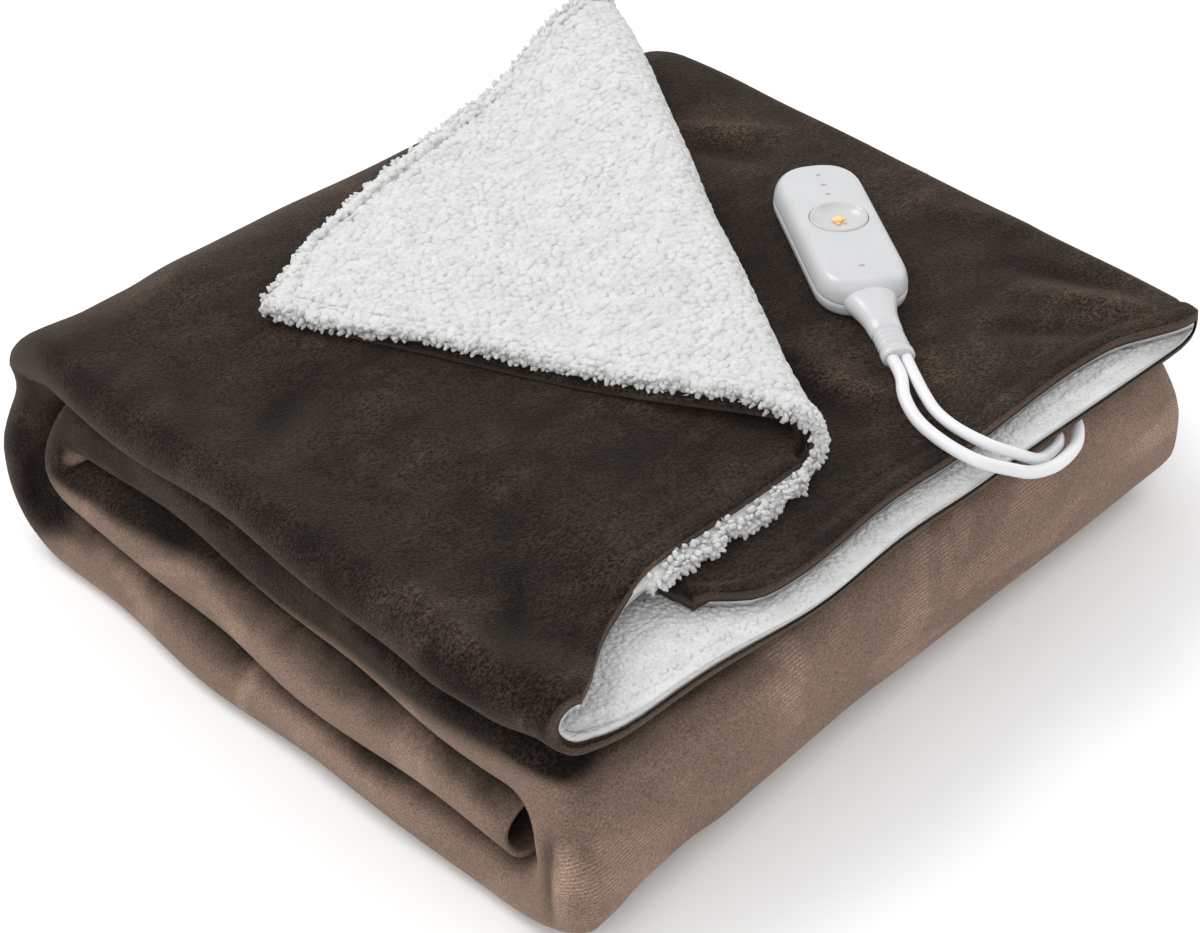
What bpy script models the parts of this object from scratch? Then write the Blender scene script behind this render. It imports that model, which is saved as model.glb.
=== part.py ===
"""Electric heated throw, folded in three across its width and rolled into four levels,
with its hand control lying on top. Metres, +Z up, the stack standing on z = 0."""

import math

import bmesh
import bpy
from mathutils import Matrix, Vector

# ---------------------------------------------------------------- cloth, driving dimensions
PLUSH = 0.0030  # thickness of the dark plush panel
SHERPA = 0.0050  # thickness of the white sherpa panel
SKIN_GAP = 0.0003  # between two pieces that touch
PLY = PLUSH + SKIN_GAP + SHERPA  # one layer of the throw
CLOTH_WIDTH = 1.27
CLOTH_LENGTH = 1.515

STACK_WIDTH = 0.427  # left ridge to right ridge
STACK_DEPTH = 0.400  # front roll to back roll
SHERPA_ROOM = 0.0014  # between the two sherpa faces of the strip
LAYER_ROOM = 0.0018  # between the middle and the top layer
LEVEL_ROOM = 0.0020  # between the rolled levels
CORD_ROOM = 0.0070  # under the top level, where the cords run in

MIDDLE_TOP = 2 * PLY + SHERPA_ROOM
STRIP = MIDDLE_TOP + LAYER_ROOM + PLY  # the three layers together
LEFT_R = STRIP / 2
RIGHT_R = MIDDLE_TOP / 2

# The throw's corner is folded back. Plan points of the fold line and of the corner before folding.
FOLD_FRONT = Vector((0.189, 0.051))
FOLD_BACK = Vector((0.398, 0.398))
LOOSE_CORNER = Vector((0.4895, 0.0617))
FOLD_BOW = -0.0055  # how far the fold line bows out; less than 0 is in
FOLD_R_FRONT = 0.0040  # inside radius of the turned corner
FOLD_R_BACK = 0.0120
CORNER_KEPT = 0.93  # of the turned corner's height, where its tip is rounded off
CORNER_BOW = 0.028  # how far its back edge bows out
CORNER_BOW_PLACE = 1.7  # above 1 the bow is nearer the tip
CORNER_BOW_FULLNESS = 0.45  # below 1 the bow is fuller
CORNER_LIE = 0.0008  # between it and the layer that it lies on
CORNER_LIE_REACH = 0.08  # from the fold

TOP_FREE_X = 0.415  # free end of the top layer behind the turned corner
TOP_FLAT = LOOSE_CORNER.x - LEFT_R
MIDDLE_END_X = (
    STACK_WIDTH - RIGHT_R
    - (CLOTH_WIDTH - TOP_FLAT - math.pi * (LEFT_R + RIGHT_R) - (STACK_WIDTH - LEFT_R - RIGHT_R))
)

RIM_START = 0.004  # front rim of the top level
TOP_LAG = 0.050  # how far the top layer's front edge lies back
TOP_LAG_SHARE = 0.9  # of it at the turned corner's last row
TOP_LAG_FADE = 0.12  # length past that row over which it ends
TOP_LAG_CURVES = (4.0, 1.0)  # how quickly it sets in, at the front and at the back
# centre and half width along x, and depth, of the middle layer's lie behind its front rim
MIDDLE_LAGS = ((0.230, 0.400, 0.014), (0.345, 0.050, 0.005), (MIDDLE_END_X, 0.014, 0.014))
MIDDLE_LAG_RUN = 0.06  # from the right ridge
MIDDLE_LAG_REACH = 0.25  # back from the rim

# ---------------------------------------------------------------- the roll, from its front rim inwards
LEVEL_4 = STRIP  # height of the inner face of each level
LEVEL_3 = 2 * STRIP + LEVEL_ROOM
LEVEL_2 = LEVEL_3 + LEVEL_ROOM
LEVEL_1 = LEVEL_2 + STRIP + CORD_ROOM
STACK_HEIGHT = LEVEL_1 + STRIP

BACK_OUTER = STACK_HEIGHT / 2
FRONT_OUTER = (LEVEL_2 + STRIP) / 2
INNER_TURN = (LEVEL_2 - LEVEL_3) / 2
BACK_Y = STACK_DEPTH - BACK_OUTER
FRONT_Y = FRONT_OUTER
NEUTRAL = STRIP / 2

# kind, inner radius or length, height of the centre or of the inner face, heading along y, rows
ROLL = (
    ("run", BACK_Y, LEVEL_1, 1, 0),
    ("turn", BACK_OUTER - STRIP, BACK_OUTER, 1, 9),
    ("run", BACK_Y - FRONT_Y, LEVEL_4, -1, 3),
    ("turn", FRONT_OUTER - STRIP, FRONT_OUTER, -1, 8),
    ("run", BACK_Y - FRONT_Y, LEVEL_2, 1, 3),
    ("turn", INNER_TURN, LEVEL_3 + INNER_TURN, 1, 6),
    ("run", BACK_Y, LEVEL_3, -1, 3),
)

# ---------------------------------------------------------------- mesh rows and columns
# share of the fold line at each row, closer where the corner passes over the back roll
FLAP_SHARES = (0.0, 0.12, 0.24, 0.36, 0.48, 0.60, 0.70, 0.80, 0.85, 0.90, 0.95, 1.0)
FLAP_ROWS = len(FLAP_SHARES)
FLAP_TURN_COLUMNS = 6
FLAP_FLAT_COLUMNS = 5
# panel of the strip, columns
STRIP_PANELS = (
    ("top", 8),
    ("left_bend", 6),
    ("bottom", 4),
    ("right_bend", 4),
    ("middle", 7),
)

SAG = 0.0065  # of the top layer beside the middle layer's end
SAG_BACK_SHARE = 0.35
SAG_RUN = 0.030
SAG_FRONT_REACH = 0.12
SAG_EDGE_X = MIDDLE_END_X - 0.0035
# the last columns of the top layer, where it sags between the middle layer's end and the ridge
SAG_COLUMNS_X = (SAG_EDGE_X, 0.074, 0.054, 0.033, LEFT_R)

# where the columns of the middle layer lie, closest at its rounded free corner
MIDDLE_SHARES = (0.0, 0.16, 0.34, 0.52, 0.70, 0.84, 0.94, 1.0)


def smooth(value):
    """0 to 1 with soft ends."""
    value = min(1.0, max(0.0, value))
    return value * value * (3 - 2 * value)


def mix(a, b, share):
    return a + (b - a) * share


def bump(value, centre, half_width):
    return math.exp(-(((value - centre) / half_width) ** 2))


# ---------------------------------------------------------------- the roll
def roll_lengths():
    """Length of each stretch of the roll, along the middle of the strip."""
    return [size if kind == "run" else math.pi * (size + NEUTRAL) for kind, size, *_ in ROLL]


LENGTHS = roll_lengths()


def roll(along, rise):
    """Side view of the roll: y and z at a length along it and a height above its inner face."""
    start_y = 0.0
    for (kind, size, level, heading, _), length in zip(ROLL, LENGTHS):
        last = level == LEVEL_3
        if along <= length or last:
            if kind == "run":
                return start_y + heading * along, level + heading * rise
            angle = math.pi * along / length
            reach = size + rise
            return start_y + heading * reach * math.sin(angle), level + heading * reach * math.cos(angle)
        along -= length
        if kind == "run":
            start_y += heading * size
    return None


def top_length(reach):
    """Length along the roll of a point of the top layer, whose outer face is longer round the back."""
    if reach <= BACK_Y:
        return reach
    return BACK_Y + (reach - BACK_Y) * (BACK_OUTER - NEUTRAL) / BACK_OUTER


def row_places():
    """The length along the roll of each row of the cloth, and its share along the turned corner."""
    last_flap_row = top_length(FOLD_BACK.y) - TOP_LAG * TOP_LAG_SHARE
    rows = [(mix(RIM_START, last_flap_row, share), share) for share in FLAP_SHARES]
    along = 0.0
    for (_, _, _, _, count), length in zip(ROLL, LENGTHS):
        first = rows[-1][0]
        begin, end = max(along, first), along + length
        if along == sum(LENGTHS[:-1]):
            end = CLOTH_LENGTH + RIM_START
        for index in range(count):
            rows.append((mix(begin, end, (index + 1) / count), None))
        along += length
    return rows


ROWS = row_places()


def fold_line(share):
    """Plan point and outward direction of the turned corner's fold, which bows out a little."""
    line = (FOLD_BACK - FOLD_FRONT).normalized()
    outward = Vector((line.y, -line.x))
    return FOLD_FRONT.lerp(FOLD_BACK, share) + outward * FOLD_BOW * math.sin(math.pi * share), line, outward


# ---------------------------------------------------------------- the strip of three layers
def top_lag(away, edge_share):
    """The top layer's front edge runs back from the ridge, quickly at first; further back, evenly."""
    return 1 - (1 - away) ** mix(*TOP_LAG_CURVES, smooth(edge_share))


def middle_lag(x, along):
    """How far the middle layer lies back near its front edge, with its rounded free corner."""
    away = smooth((STACK_WIDTH - x) / MIDDLE_LAG_RUN) * (1 - smooth(along / MIDDLE_LAG_REACH))
    return away * sum(back * bump(x, centre, width) for centre, width, back in MIDDLE_LAGS)


def top_sag(x, along):
    """Where no middle layer lies under it, the top layer sags, most at the front."""
    room = min(x - LEFT_R, SAG_EDGE_X - x)
    front = 1 - smooth(along / SAG_FRONT_REACH)
    return SAG * smooth(room / SAG_RUN) * mix(SAG_BACK_SHARE, 1.0, front)


def strip_point(column, row, depth):
    """x, length along the roll and rise of a point of the strip; depth runs in from the plush face."""
    along, share = ROWS[row]
    for panel, count in STRIP_PANELS:
        if column <= count:
            break
        column -= count
    part = column / count
    if panel == "top":
        edge_share = 1.0 if share is None else share
        edge = fold_line(edge_share)[0]
        past = along - ROWS[FLAP_ROWS - 1][0]
        fade = 1.0 if share is not None else 1 - smooth(past / TOP_LAG_FADE)
        start_x = edge.x if share is not None else TOP_FREE_X
        lag = (top_length(edge.y) - ROWS[min(row, FLAP_ROWS - 1)][0]) * fade
        flat_columns = count - len(SAG_COLUMNS_X) + 1
        if column <= flat_columns:
            x = mix(start_x, SAG_EDGE_X, column / flat_columns)
        else:
            x = SAG_COLUMNS_X[column - flat_columns]
        away = (x - LEFT_R) / (start_x - LEFT_R)
        return x, along + lag * top_lag(away, edge_share), STRIP - depth - top_sag(x, along)
    if panel == "left_bend":
        angle = math.pi * part
        reach = LEFT_R - depth
        return LEFT_R - reach * math.sin(angle), along, LEFT_R + reach * math.cos(angle)
    if panel == "bottom":
        return mix(LEFT_R, STACK_WIDTH - RIGHT_R, part), along, depth
    if panel == "right_bend":
        angle = math.pi * part
        reach = RIGHT_R - depth
        return STACK_WIDTH - RIGHT_R + reach * math.sin(angle), along, RIGHT_R - reach * math.cos(angle)
    x = mix(STACK_WIDTH - RIGHT_R, MIDDLE_END_X, MIDDLE_SHARES[column])
    return x, along + middle_lag(x, along), MIDDLE_TOP - depth


def flap_point(column, share, depth):
    """The turned corner: lines parallel to the fold, rolled over it and laid back on the top layer.
    Past the back roll's shoulder it stays level, clear of the layer below."""
    edge, line, outward = fold_line(share)
    corner_height = (LOOSE_CORNER - FOLD_FRONT).dot(outward)
    radius = mix(FOLD_R_FRONT, FOLD_R_BACK, share)
    turn_length = math.pi * (radius + PLY / 2)
    if column <= FLAP_TURN_COLUMNS:
        away = turn_length * column / FLAP_TURN_COLUMNS
    else:
        part = (column - FLAP_TURN_COLUMNS) / FLAP_FLAT_COLUMNS
        away = mix(turn_length, corner_height * CORNER_KEPT, part)
    height_share = away / corner_height
    curve = math.sin(math.pi * min(1.0, height_share) ** CORNER_BOW_PLACE)
    bow = line * CORNER_BOW * max(0.0, curve) ** CORNER_BOW_FULLNESS
    foot = edge.lerp(LOOSE_CORNER, height_share) + bow * share - outward * away
    if away < turn_length:
        angle = away / (radius + PLY / 2)
        offset = (radius + depth) * math.sin(angle)
        rise = radius - (radius + depth) * math.cos(angle)
    else:
        past = away - turn_length
        offset = -past
        rise = mix(2 * radius, CORNER_LIE, smooth(past / CORNER_LIE_REACH)) + depth
    plan = foot + outward * offset
    y, z = roll(top_length(plan.y), STRIP + rise)
    level = smooth(away / turn_length)
    return plan.x, mix(y, plan.y, level), mix(z, STACK_HEIGHT + rise, level)


# ---------------------------------------------------------------- how unevenly it lies
# height of each level's ridge, how far it lies in at the left, how far out at the right
LEVEL_SHIFTS = (
    (0.000, -0.004, 0.008),
    (0.044, -0.001, 0.010),
    (0.075, 0.008, 0.006),
    (0.108, -0.004, -0.001),
    (0.200, -0.004, -0.001),
)
LEFT_REACH = 0.20  # how far from the left ridge its shifts reach
RIGHT_REACH = (0.15, 0.40)  # where the right ridge's shifts begin and end
# centre and half width along y, and depth, of where the top level's right ridge lies in
RIGHT_WAVES = ((0.385, 0.050, 0.0075),)
# height, radians a metre along y and along z, and phase of the waves of the left ridges
RIDGE_WAVES = ((0.0022, 21, 40, 0.0), (0.0014, 47, -95, 1.0))
# centre and half width along x, and depth, of the waves in the top level's front rim
RIM_WAVES = ((0.0, 0.022, 0.014), (0.145, 0.050, -0.008), (0.250, 0.030, -0.002), (0.437, 0.016, 0.010))
RIM_WAVES_REACH = 0.09  # how far back from the rim
TOP_CORNER_IN = 0.0165  # the top level's front left corner lies in towards the right
TOP_CORNER_REACH = 0.08
LOW_BACK_OUT = 0.012  # the lowest level's back left corner lies out
SKEW = 0.048  # how far back a point lies for each metre that it is to the right
TOP_SKEW_LESS = 0.028  # less than that at the top level's front
TOP_START = (0.080, 0.105)  # height where the top level's own shifts begin and are whole
LOW_END = 0.09  # height where the lowest level's own shifts end
FRONT_BULGE = 0.008  # the front roll stands out near the floor
FRONT_BULGE_HEIGHT = (0.014, 0.020)  # its middle and half width
FRONT_BULGE_REACH = 0.07
LEFT_BULGE = 0.014  # more of it at the left
LEFT_BULGE_REACH = 0.10
FACE_WAVE = (0.0010, 14, 60)  # height, radians a metre along x and along z
TOP_SWELL = (0.008, 0.28, 11)  # share of the height, how far from the left, radians a metre along y
CORNER_DROP = (0.035, 0.05, 0.07)  # share of the height, half widths along x and y


def level_shift(z, side):
    for low, high in zip(LEVEL_SHIFTS, LEVEL_SHIFTS[1:]):
        if z <= high[0]:
            return mix(low[side], high[side], smooth((z - low[0]) / (high[0] - low[0])))
    return LEVEL_SHIFTS[-1][side]


def lie(x, y, z):
    """Shears and waves of the whole stack; z = 0 stays flat."""
    upper = smooth((z - TOP_START[0]) / (TOP_START[1] - TOP_START[0]))
    lower = 1 - smooth(z / LOW_END)
    left = 1 - smooth(x / LEFT_REACH)
    right = smooth((x - RIGHT_REACH[0]) / (RIGHT_REACH[1] - RIGHT_REACH[0]))
    back = min(1.0, max(0.0, y / STACK_DEPTH))

    wave = sum(high * math.sin(along * y + up * z + phase) for high, along, up, phase in RIDGE_WAVES)
    corner = TOP_CORNER_IN * upper * (1 - smooth(y / TOP_CORNER_REACH))
    dx = left * (level_shift(z, 1) + wave + corner - LOW_BACK_OUT * lower * back)
    inward = upper * sum(deep * bump(y, centre, width) for centre, width, deep in RIGHT_WAVES)
    dx += right * (level_shift(z, 2) - inward)

    rim = sum(deep * bump(x, centre, width) for centre, width, deep in RIM_WAVES)
    dy = x * (SKEW - TOP_SKEW_LESS * upper * (1 - back)) + upper * rim * (1 - smooth(y / RIM_WAVES_REACH))
    dy -= FRONT_BULGE * bump(z, *FRONT_BULGE_HEIGHT) * (1 - smooth(y / FRONT_BULGE_REACH))
    dy -= LEFT_BULGE * lower * left * (1 - smooth(y / LEFT_BULGE_REACH))
    dy += FACE_WAVE[0] * math.sin(FACE_WAVE[1] * x + FACE_WAVE[2] * z)

    swell = 1 - TOP_SWELL[0] * smooth(1 - x / TOP_SWELL[1]) * math.sin(TOP_SWELL[2] * y)
    swell -= CORNER_DROP[0] * bump(x, 0.0, CORNER_DROP[1]) * bump(y, 0.0, CORNER_DROP[2])
    return Vector((x + dx, y + dy, z * swell))


# the middle of the folded stack as it lies, from its left ridge and front roll
CENTRE = Vector((STACK_WIDTH / 2 - 0.0014, STACK_DEPTH / 2 + 0.0045, 0.0))


def cloth_point(column, row, depth):
    if column < 0:
        x, y, z = flap_point(-column, ROWS[row][1], depth)
    else:
        x, along, rise = strip_point(column, row, depth)
        y, z = roll(along, rise)
    return lie(x, y, z) - CENTRE


# ---------------------------------------------------------------- scene helpers
CONTROL_POINTS = 36  # round the control's shells
BUTTON_POINTS = 28
RELIEF_POINTS = 16
COIL_STEPS = 28
TIE_POINTS = 16
SHARP = math.radians(35)  # edges sharper than this are shaded as edges


def clear_scene():
    for item in list(bpy.data.objects):
        bpy.data.objects.remove(item, do_unlink=True)


def new_material(name, colour, roughness, metallic=0.0):
    material = bpy.data.materials.new(name)
    material.use_nodes = True
    shader = material.node_tree.nodes["Principled BSDF"]
    shader.inputs["Base Color"].default_value = (*colour, 1.0)
    shader.inputs["Roughness"].default_value = roughness
    shader.inputs["Metallic"].default_value = metallic
    return material


def add_object(name, data, material, collection):
    item = bpy.data.objects.new(name, data)
    data.materials.append(material)
    collection.objects.link(item)
    return item


# ---------------------------------------------------------------- the two cloth panels
def add_panel(name, outer_depth, thickness, material, collection):
    """A flat grid of the whole throw, made a slab and carried through its folds."""
    flap_columns = FLAP_TURN_COLUMNS + FLAP_FLAT_COLUMNS
    columns = flap_columns + sum(count for _, count in STRIP_PANELS)
    last_row = len(ROWS) - 1
    sheet = bmesh.new()
    bmesh.ops.create_grid(sheet, x_segments=columns, y_segments=last_row, size=1.0)
    place = sheet.verts.layers.int.new("place")
    for vertex in sheet.verts:
        column = round((vertex.co.x + 1) / 2 * columns)
        row = round((vertex.co.y + 1) / 2 * last_row)
        vertex[place] = column * 1000 + row
    beyond = [
        face for face in sheet.faces
        if max(v[place] // 1000 for v in face.verts) <= flap_columns
        and max(v[place] % 1000 for v in face.verts) >= FLAP_ROWS
    ]
    bmesh.ops.delete(sheet, geom=beyond, context="FACES")
    under = list(sheet.faces)
    made = bmesh.ops.extrude_face_region(sheet, geom=under, use_keep_orig=True)
    raised = {item for item in made["geom"] if isinstance(item, bmesh.types.BMVert)}
    for vertex in sheet.verts:
        column = vertex[place] // 1000 - flap_columns
        depth = outer_depth if vertex in raised else outer_depth + thickness
        vertex.co = cloth_point(column, vertex[place] % 1000, depth)
    bmesh.ops.recalc_face_normals(sheet, faces=sheet.faces)
    if sheet.calc_volume(signed=True) < 0:
        bmesh.ops.reverse_faces(sheet, faces=sheet.faces)
    mesh = bpy.data.meshes.new(name)
    sheet.to_mesh(mesh)
    sheet.free()
    mesh.shade_smooth()
    return add_object(name, mesh, material, collection)


# ---------------------------------------------------------------- the hand control
CONTROL_LENGTH = 0.114
CONTROL_WIDTH = 0.045
CONTROL_ROUND = 0.8  # of its ends; 1 is a half circle, less is squarer
CONTROL_SPLIT = 0.0075  # height of the parting line
CONTROL_HEIGHT = 0.0190
CONTROL_PLACE = Vector((0.3317, 0.1636))  # from the stack's left ridge and front roll
CONTROL_TURN = math.radians(58)
CONTROL_SEAT = LEVEL_1 + MIDDLE_TOP + SKIN_GAP
BUTTON_PLACE = 0.0029  # from the control's middle towards its free end
BUTTON_LENGTH = 0.0262  # along the control
BUTTON_WIDTH = 0.0285
LENS_LENGTH = 0.0040
LENS_WIDTH = 0.0052
# size and height of each ring of the dished button
BUTTON_RINGS = ((0.94, 0.0), (1.0, 0.0008), (1.0, 0.0042), (0.93, 0.0048), (0.80, 0.0038), (0.5, 0.0028))
SEAT_DEPTH = 0.0050  # of the button's seat in the upper shell
LENS_DEPTH = (0.0018, 0.0034)  # the light's lowest and highest point above the seat
ABOVE = 0.03  # cutters end clear of the shells
RELIEF_END = -0.102  # where the cords come out, from the control's middle
CORD_HEIGHT = 0.0085  # of the cords' middle above the control's underside
CORD_SPREAD = 0.0031  # each cord's middle from the sleeve's middle

# inset and height of each ring of the shells
BASE_RINGS = ((0.0045, 0.0), (0.0018, 0.0010), (0.0004, 0.0030), (0.0, 0.0052), (0.0, CONTROL_SPLIT))
TOP_RINGS = (
    (0.0004, CONTROL_SPLIT + SKIN_GAP),
    (0.0, 0.0085),
    (0.0006, 0.0120),
    (0.0022, 0.0150),
    (0.0050, 0.0173),
    (0.0095, 0.0186),
    (0.0150, CONTROL_HEIGHT),
)
# place along the control, half width and half height of the strain relief
RELIEF_RINGS = (
    (-0.0500, 0.0135, 0.0078),
    (-0.0590, 0.0118, 0.0078),
    (-0.0660, 0.0096, 0.0070),
    (-0.0745, 0.0083, 0.0061),
    (-0.0820, 0.0078, 0.0056),
)
RELIEF_GROOVES = 4
RELIEF_GROOVE_PITCH = 0.0036
RELIEF_RIB = (0.0076, 0.0053)
RELIEF_GROOVE = (0.0069, 0.0046)
# place past the groove's start and section
RELIEF_GROOVE_RINGS = (
    (0.0006, RELIEF_GROOVE),
    (0.0018, RELIEF_GROOVE),
    (0.0024, RELIEF_RIB),
    (RELIEF_GROOVE_PITCH, RELIEF_RIB),
)


def stadium(length, width, points, inset=0.0):
    """Plan outline with round ends, a little squarer than half circles."""
    radius = width / 2 - inset
    straight = (length - width) / 2
    outline = []
    for index in range(points):
        angle = 2 * math.pi * (index + 0.5) / points
        across = math.copysign(straight + radius * abs(math.cos(angle)) ** CONTROL_ROUND, math.cos(angle))
        outline.append((across, math.copysign(radius * abs(math.sin(angle)) ** CONTROL_ROUND, math.sin(angle))))
    return outline


def ellipse(length, width, points):
    turns = [2 * math.pi * index / points for index in range(points)]
    return [(length / 2 * math.cos(turn), width / 2 * math.sin(turn)) for turn in turns]


def ring_solid(name, rings):
    """A closed solid through rings of points, each a circle set out anew and bridged to the last."""
    shape = bmesh.new()
    loops = []
    for index, ring in enumerate(rings):
        end = index in (0, len(rings) - 1)
        made = bmesh.ops.create_circle(shape, cap_ends=end, segments=len(ring), radius=1.0)
        for vertex, place in zip(made["verts"], ring):
            vertex.co = place
        around = set(made["verts"])
        loops.append([edge for edge in shape.edges if set(edge.verts) <= around])
    for low, high in zip(loops, loops[1:]):
        bmesh.ops.bridge_loops(shape, edges=low + high)
    bmesh.ops.recalc_face_normals(shape, faces=shape.faces)
    mesh = bpy.data.meshes.new(name)
    shape.to_mesh(mesh)
    shape.free()
    mesh.shade_smooth()
    mesh.set_sharp_from_angle(angle=SHARP)
    return mesh


def prism(outline, low, high):
    return [[(x, y, low) for x, y in outline], [(x, y, high) for x, y in outline]]


def cut(item, cutter):
    """Takes the cutter out of the item; the cutter isn't part of the object."""
    cutter.hide_render = True
    cutter.display_type = "WIRE"
    boolean = item.modifiers.new("cut", "BOOLEAN")
    boolean.operation = "DIFFERENCE"
    boolean.object = cutter


def add_control(white, amber, parts, cutters, holder):
    """Lower shell, upper shell with its oval seat, dished button and its light."""
    def shell(name, table):
        rings = [
            [(x, y, height) for x, y in stadium(CONTROL_LENGTH, CONTROL_WIDTH, CONTROL_POINTS, inset)]
            for inset, height in table
        ]
        item = add_object(name, ring_solid(name, rings), white, parts)
        item.parent = holder
        return item

    def oval(name, length, width, low, high, material, collection):
        outline = [(x + BUTTON_PLACE, y) for x, y in ellipse(length, width, BUTTON_POINTS)]
        item = add_object(name, ring_solid(name, prism(outline, low, high)), material, collection)
        item.parent = holder
        return item

    shell("control_base", BASE_RINGS)
    top = shell("control_top", TOP_RINGS)
    seat_low = CONTROL_HEIGHT - SEAT_DEPTH
    gap = 2 * SKIN_GAP
    cut(top, oval("button_seat", BUTTON_LENGTH + gap, BUTTON_WIDTH + gap, seat_low, ABOVE, white, cutters))

    dish = []
    for size, height in BUTTON_RINGS:
        outline = ellipse(BUTTON_LENGTH * size, BUTTON_WIDTH * size, BUTTON_POINTS)
        level = seat_low + SKIN_GAP + height
        dish.append([(x + BUTTON_PLACE, y, level) for x, y in outline])
    button = add_object("control_button", ring_solid("control_button", dish), white, parts)
    button.parent = holder
    lens_low = seat_low + LENS_DEPTH[0]
    lens_top = seat_low + LENS_DEPTH[1]
    hollow = oval("lens_seat", LENS_LENGTH + gap, LENS_WIDTH + gap, lens_low, ABOVE, white, cutters)
    cut(button, hollow)
    oval("control_lens", LENS_LENGTH, LENS_WIDTH, lens_low + SKIN_GAP, lens_top, amber, parts)


def add_strain_relief(white, parts, cutters, holder):
    """The flared sleeve with its grooves, hollowed to the control's round end."""
    rings = list(RELIEF_RINGS)
    place = RELIEF_RINGS[-1][0]
    for _ in range(RELIEF_GROOVES):
        for past, section in RELIEF_GROOVE_RINGS:
            rings.append((place - past, *section))
        place -= RELIEF_GROOVE_PITCH
    rings.append((RELIEF_END, *RELIEF_RIB))
    solid = []
    for along, half_width, half_height in rings:
        section = ellipse(2 * half_width, 2 * half_height, RELIEF_POINTS)
        solid.append([(along, y, CORD_HEIGHT + z) for y, z in section])
    relief = add_object("strain_relief", ring_solid("strain_relief", solid), white, parts)
    relief.parent = holder
    outline = stadium(CONTROL_LENGTH, CONTROL_WIDTH, CONTROL_POINTS, -SKIN_GAP)
    body = ring_solid("relief_end", prism(outline, -CONTROL_SPLIT, ABOVE))
    cutter = add_object("relief_end", body, white, cutters)
    cutter.parent = holder
    cut(relief, cutter)


# ---------------------------------------------------------------- cords
MAINS_RADIUS = 0.0030
CORD_STEP = 4.6  # radii from one point of a cord to the next
CURVE_STEPS = 12  # between two route points, before they are spaced out evenly
LEAD_RADIUS = 0.00275
COIL_PLACE = Vector((0.505, 0.285))  # from the stack's left ridge and front roll
COIL_RADIUS = 0.033  # to the middle of the turns, 11 cord diameters across
COIL_HALF_PACK = 0.0060
COIL_LOW = 0.0022
COIL_TOP = 0.0200
TIE_ROOM = 0.0006
TIE_THICKNESS = 0.0012
TIE_WIDTH = 0.008
PLUG_PLACE = Vector((0.4720, 0.3530))  # rear of the plug's neck
PLUG_HEIGHT = 0.0080

# Route points of each cord, by hand: x and y from the stack's left ridge and front roll, z from the floor.
MAINS_ROUTE = (
    (0.2750, 0.0787, 0.1223),
    (0.2680, 0.0674, 0.1218),
    (0.2600, 0.0580, 0.1192),
    (0.2529, 0.0433, 0.1176),
    (0.2493, 0.0246, 0.1176),
    (0.2529, 0.0093, 0.1150),
    (0.2647, 0.0012, 0.1090),
    (0.2793, -0.0013, 0.1010),
    (0.2973, -0.0005, 0.0950),
    (0.3169, 0.0045, 0.0915),
    (0.3288, 0.0116, 0.0910),
    (0.3346, 0.0190, 0.0916),
    (0.3400, 0.0320, 0.0918),
    (0.3540, 0.0620, 0.0918),
    (0.3760, 0.1000, 0.0918),
    (0.4030, 0.1330, 0.0918),
    (0.4230, 0.1460, 0.0916),
    (0.4370, 0.1570, 0.0868),
    (0.4480, 0.1720, 0.0750),
    (0.4540, 0.1870, 0.0640),
    (0.4565, 0.2020, 0.0530),
    (0.4570, 0.2180, 0.0380),
    (0.4572, 0.2350, 0.0240),
    (0.4580, 0.2520, 0.0130),
    (0.4605, 0.2690, 0.0072),
    (0.4626, 0.2850, 0.0056),
)
LEAD_ROUTE = (
    (0.2803, 0.0755, 0.1223),
    (0.2733, 0.0642, 0.1218),
    (0.2680, 0.0530, 0.1192),
    (0.2640, 0.0425, 0.1176),
    (0.2612, 0.0280, 0.1178),
    (0.2653, 0.0130, 0.1152),
    (0.2768, 0.0052, 0.1083),
    (0.2918, 0.0060, 0.0975),
    (0.3046, 0.0093, 0.0921),
    (0.3150, 0.0120, 0.0918),
    (0.3210, 0.0200, 0.0918),
    (0.3235, 0.0330, 0.0918),
    (0.3245, 0.0520, 0.0918),
    (0.3260, 0.0900, 0.0918),
    (0.3180, 0.1400, 0.0918),
    (0.3020, 0.1900, 0.0918),
    (0.2880, 0.2350, 0.0918),
    (0.2820, 0.2700, 0.0918),
)
TAIL_ROUTE = (
    (0.4720, 0.2880, 0.0236),
    (0.4716, 0.3020, 0.0234),
    (0.4712, 0.3160, 0.0212),
    (0.4714, 0.3280, 0.0142),
    (0.4720, 0.3390, 0.0086),
    (PLUG_PLACE.x, PLUG_PLACE.y - 2 * SKIN_GAP, PLUG_HEIGHT),
)


def smooth_curve(route, spacing):
    """Evenly spaced points on a smooth curve through the route's own points."""
    spots = [Vector(spot) for spot in route]
    spots = [2 * spots[0] - spots[1], *spots, 2 * spots[-1] - spots[-2]]
    fine = []
    for before, start, end, after in zip(spots, spots[1:], spots[2:], spots[3:]):
        for step in range(CURVE_STEPS):
            t = step / CURVE_STEPS
            fine.append(
                0.5 * (2 * start + (end - before) * t + (2 * before - 5 * start + 4 * end - after) * t * t
                       + (3 * start - before - 3 * end + after) * t * t * t)
            )
    fine.append(spots[-2])
    lengths = [0.0]
    for one, two in zip(fine, fine[1:]):
        lengths.append(lengths[-1] + (two - one).length)
    count = max(2, round(lengths[-1] / spacing))
    curve = []
    position = 0
    for index in range(count + 1):
        target = lengths[-1] * index / count
        while position < len(fine) - 2 and lengths[position + 1] < target:
            position += 1
        share = (target - lengths[position]) / (lengths[position + 1] - lengths[position])
        curve.append(fine[position].lerp(fine[position + 1], share))
    return curve


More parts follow.
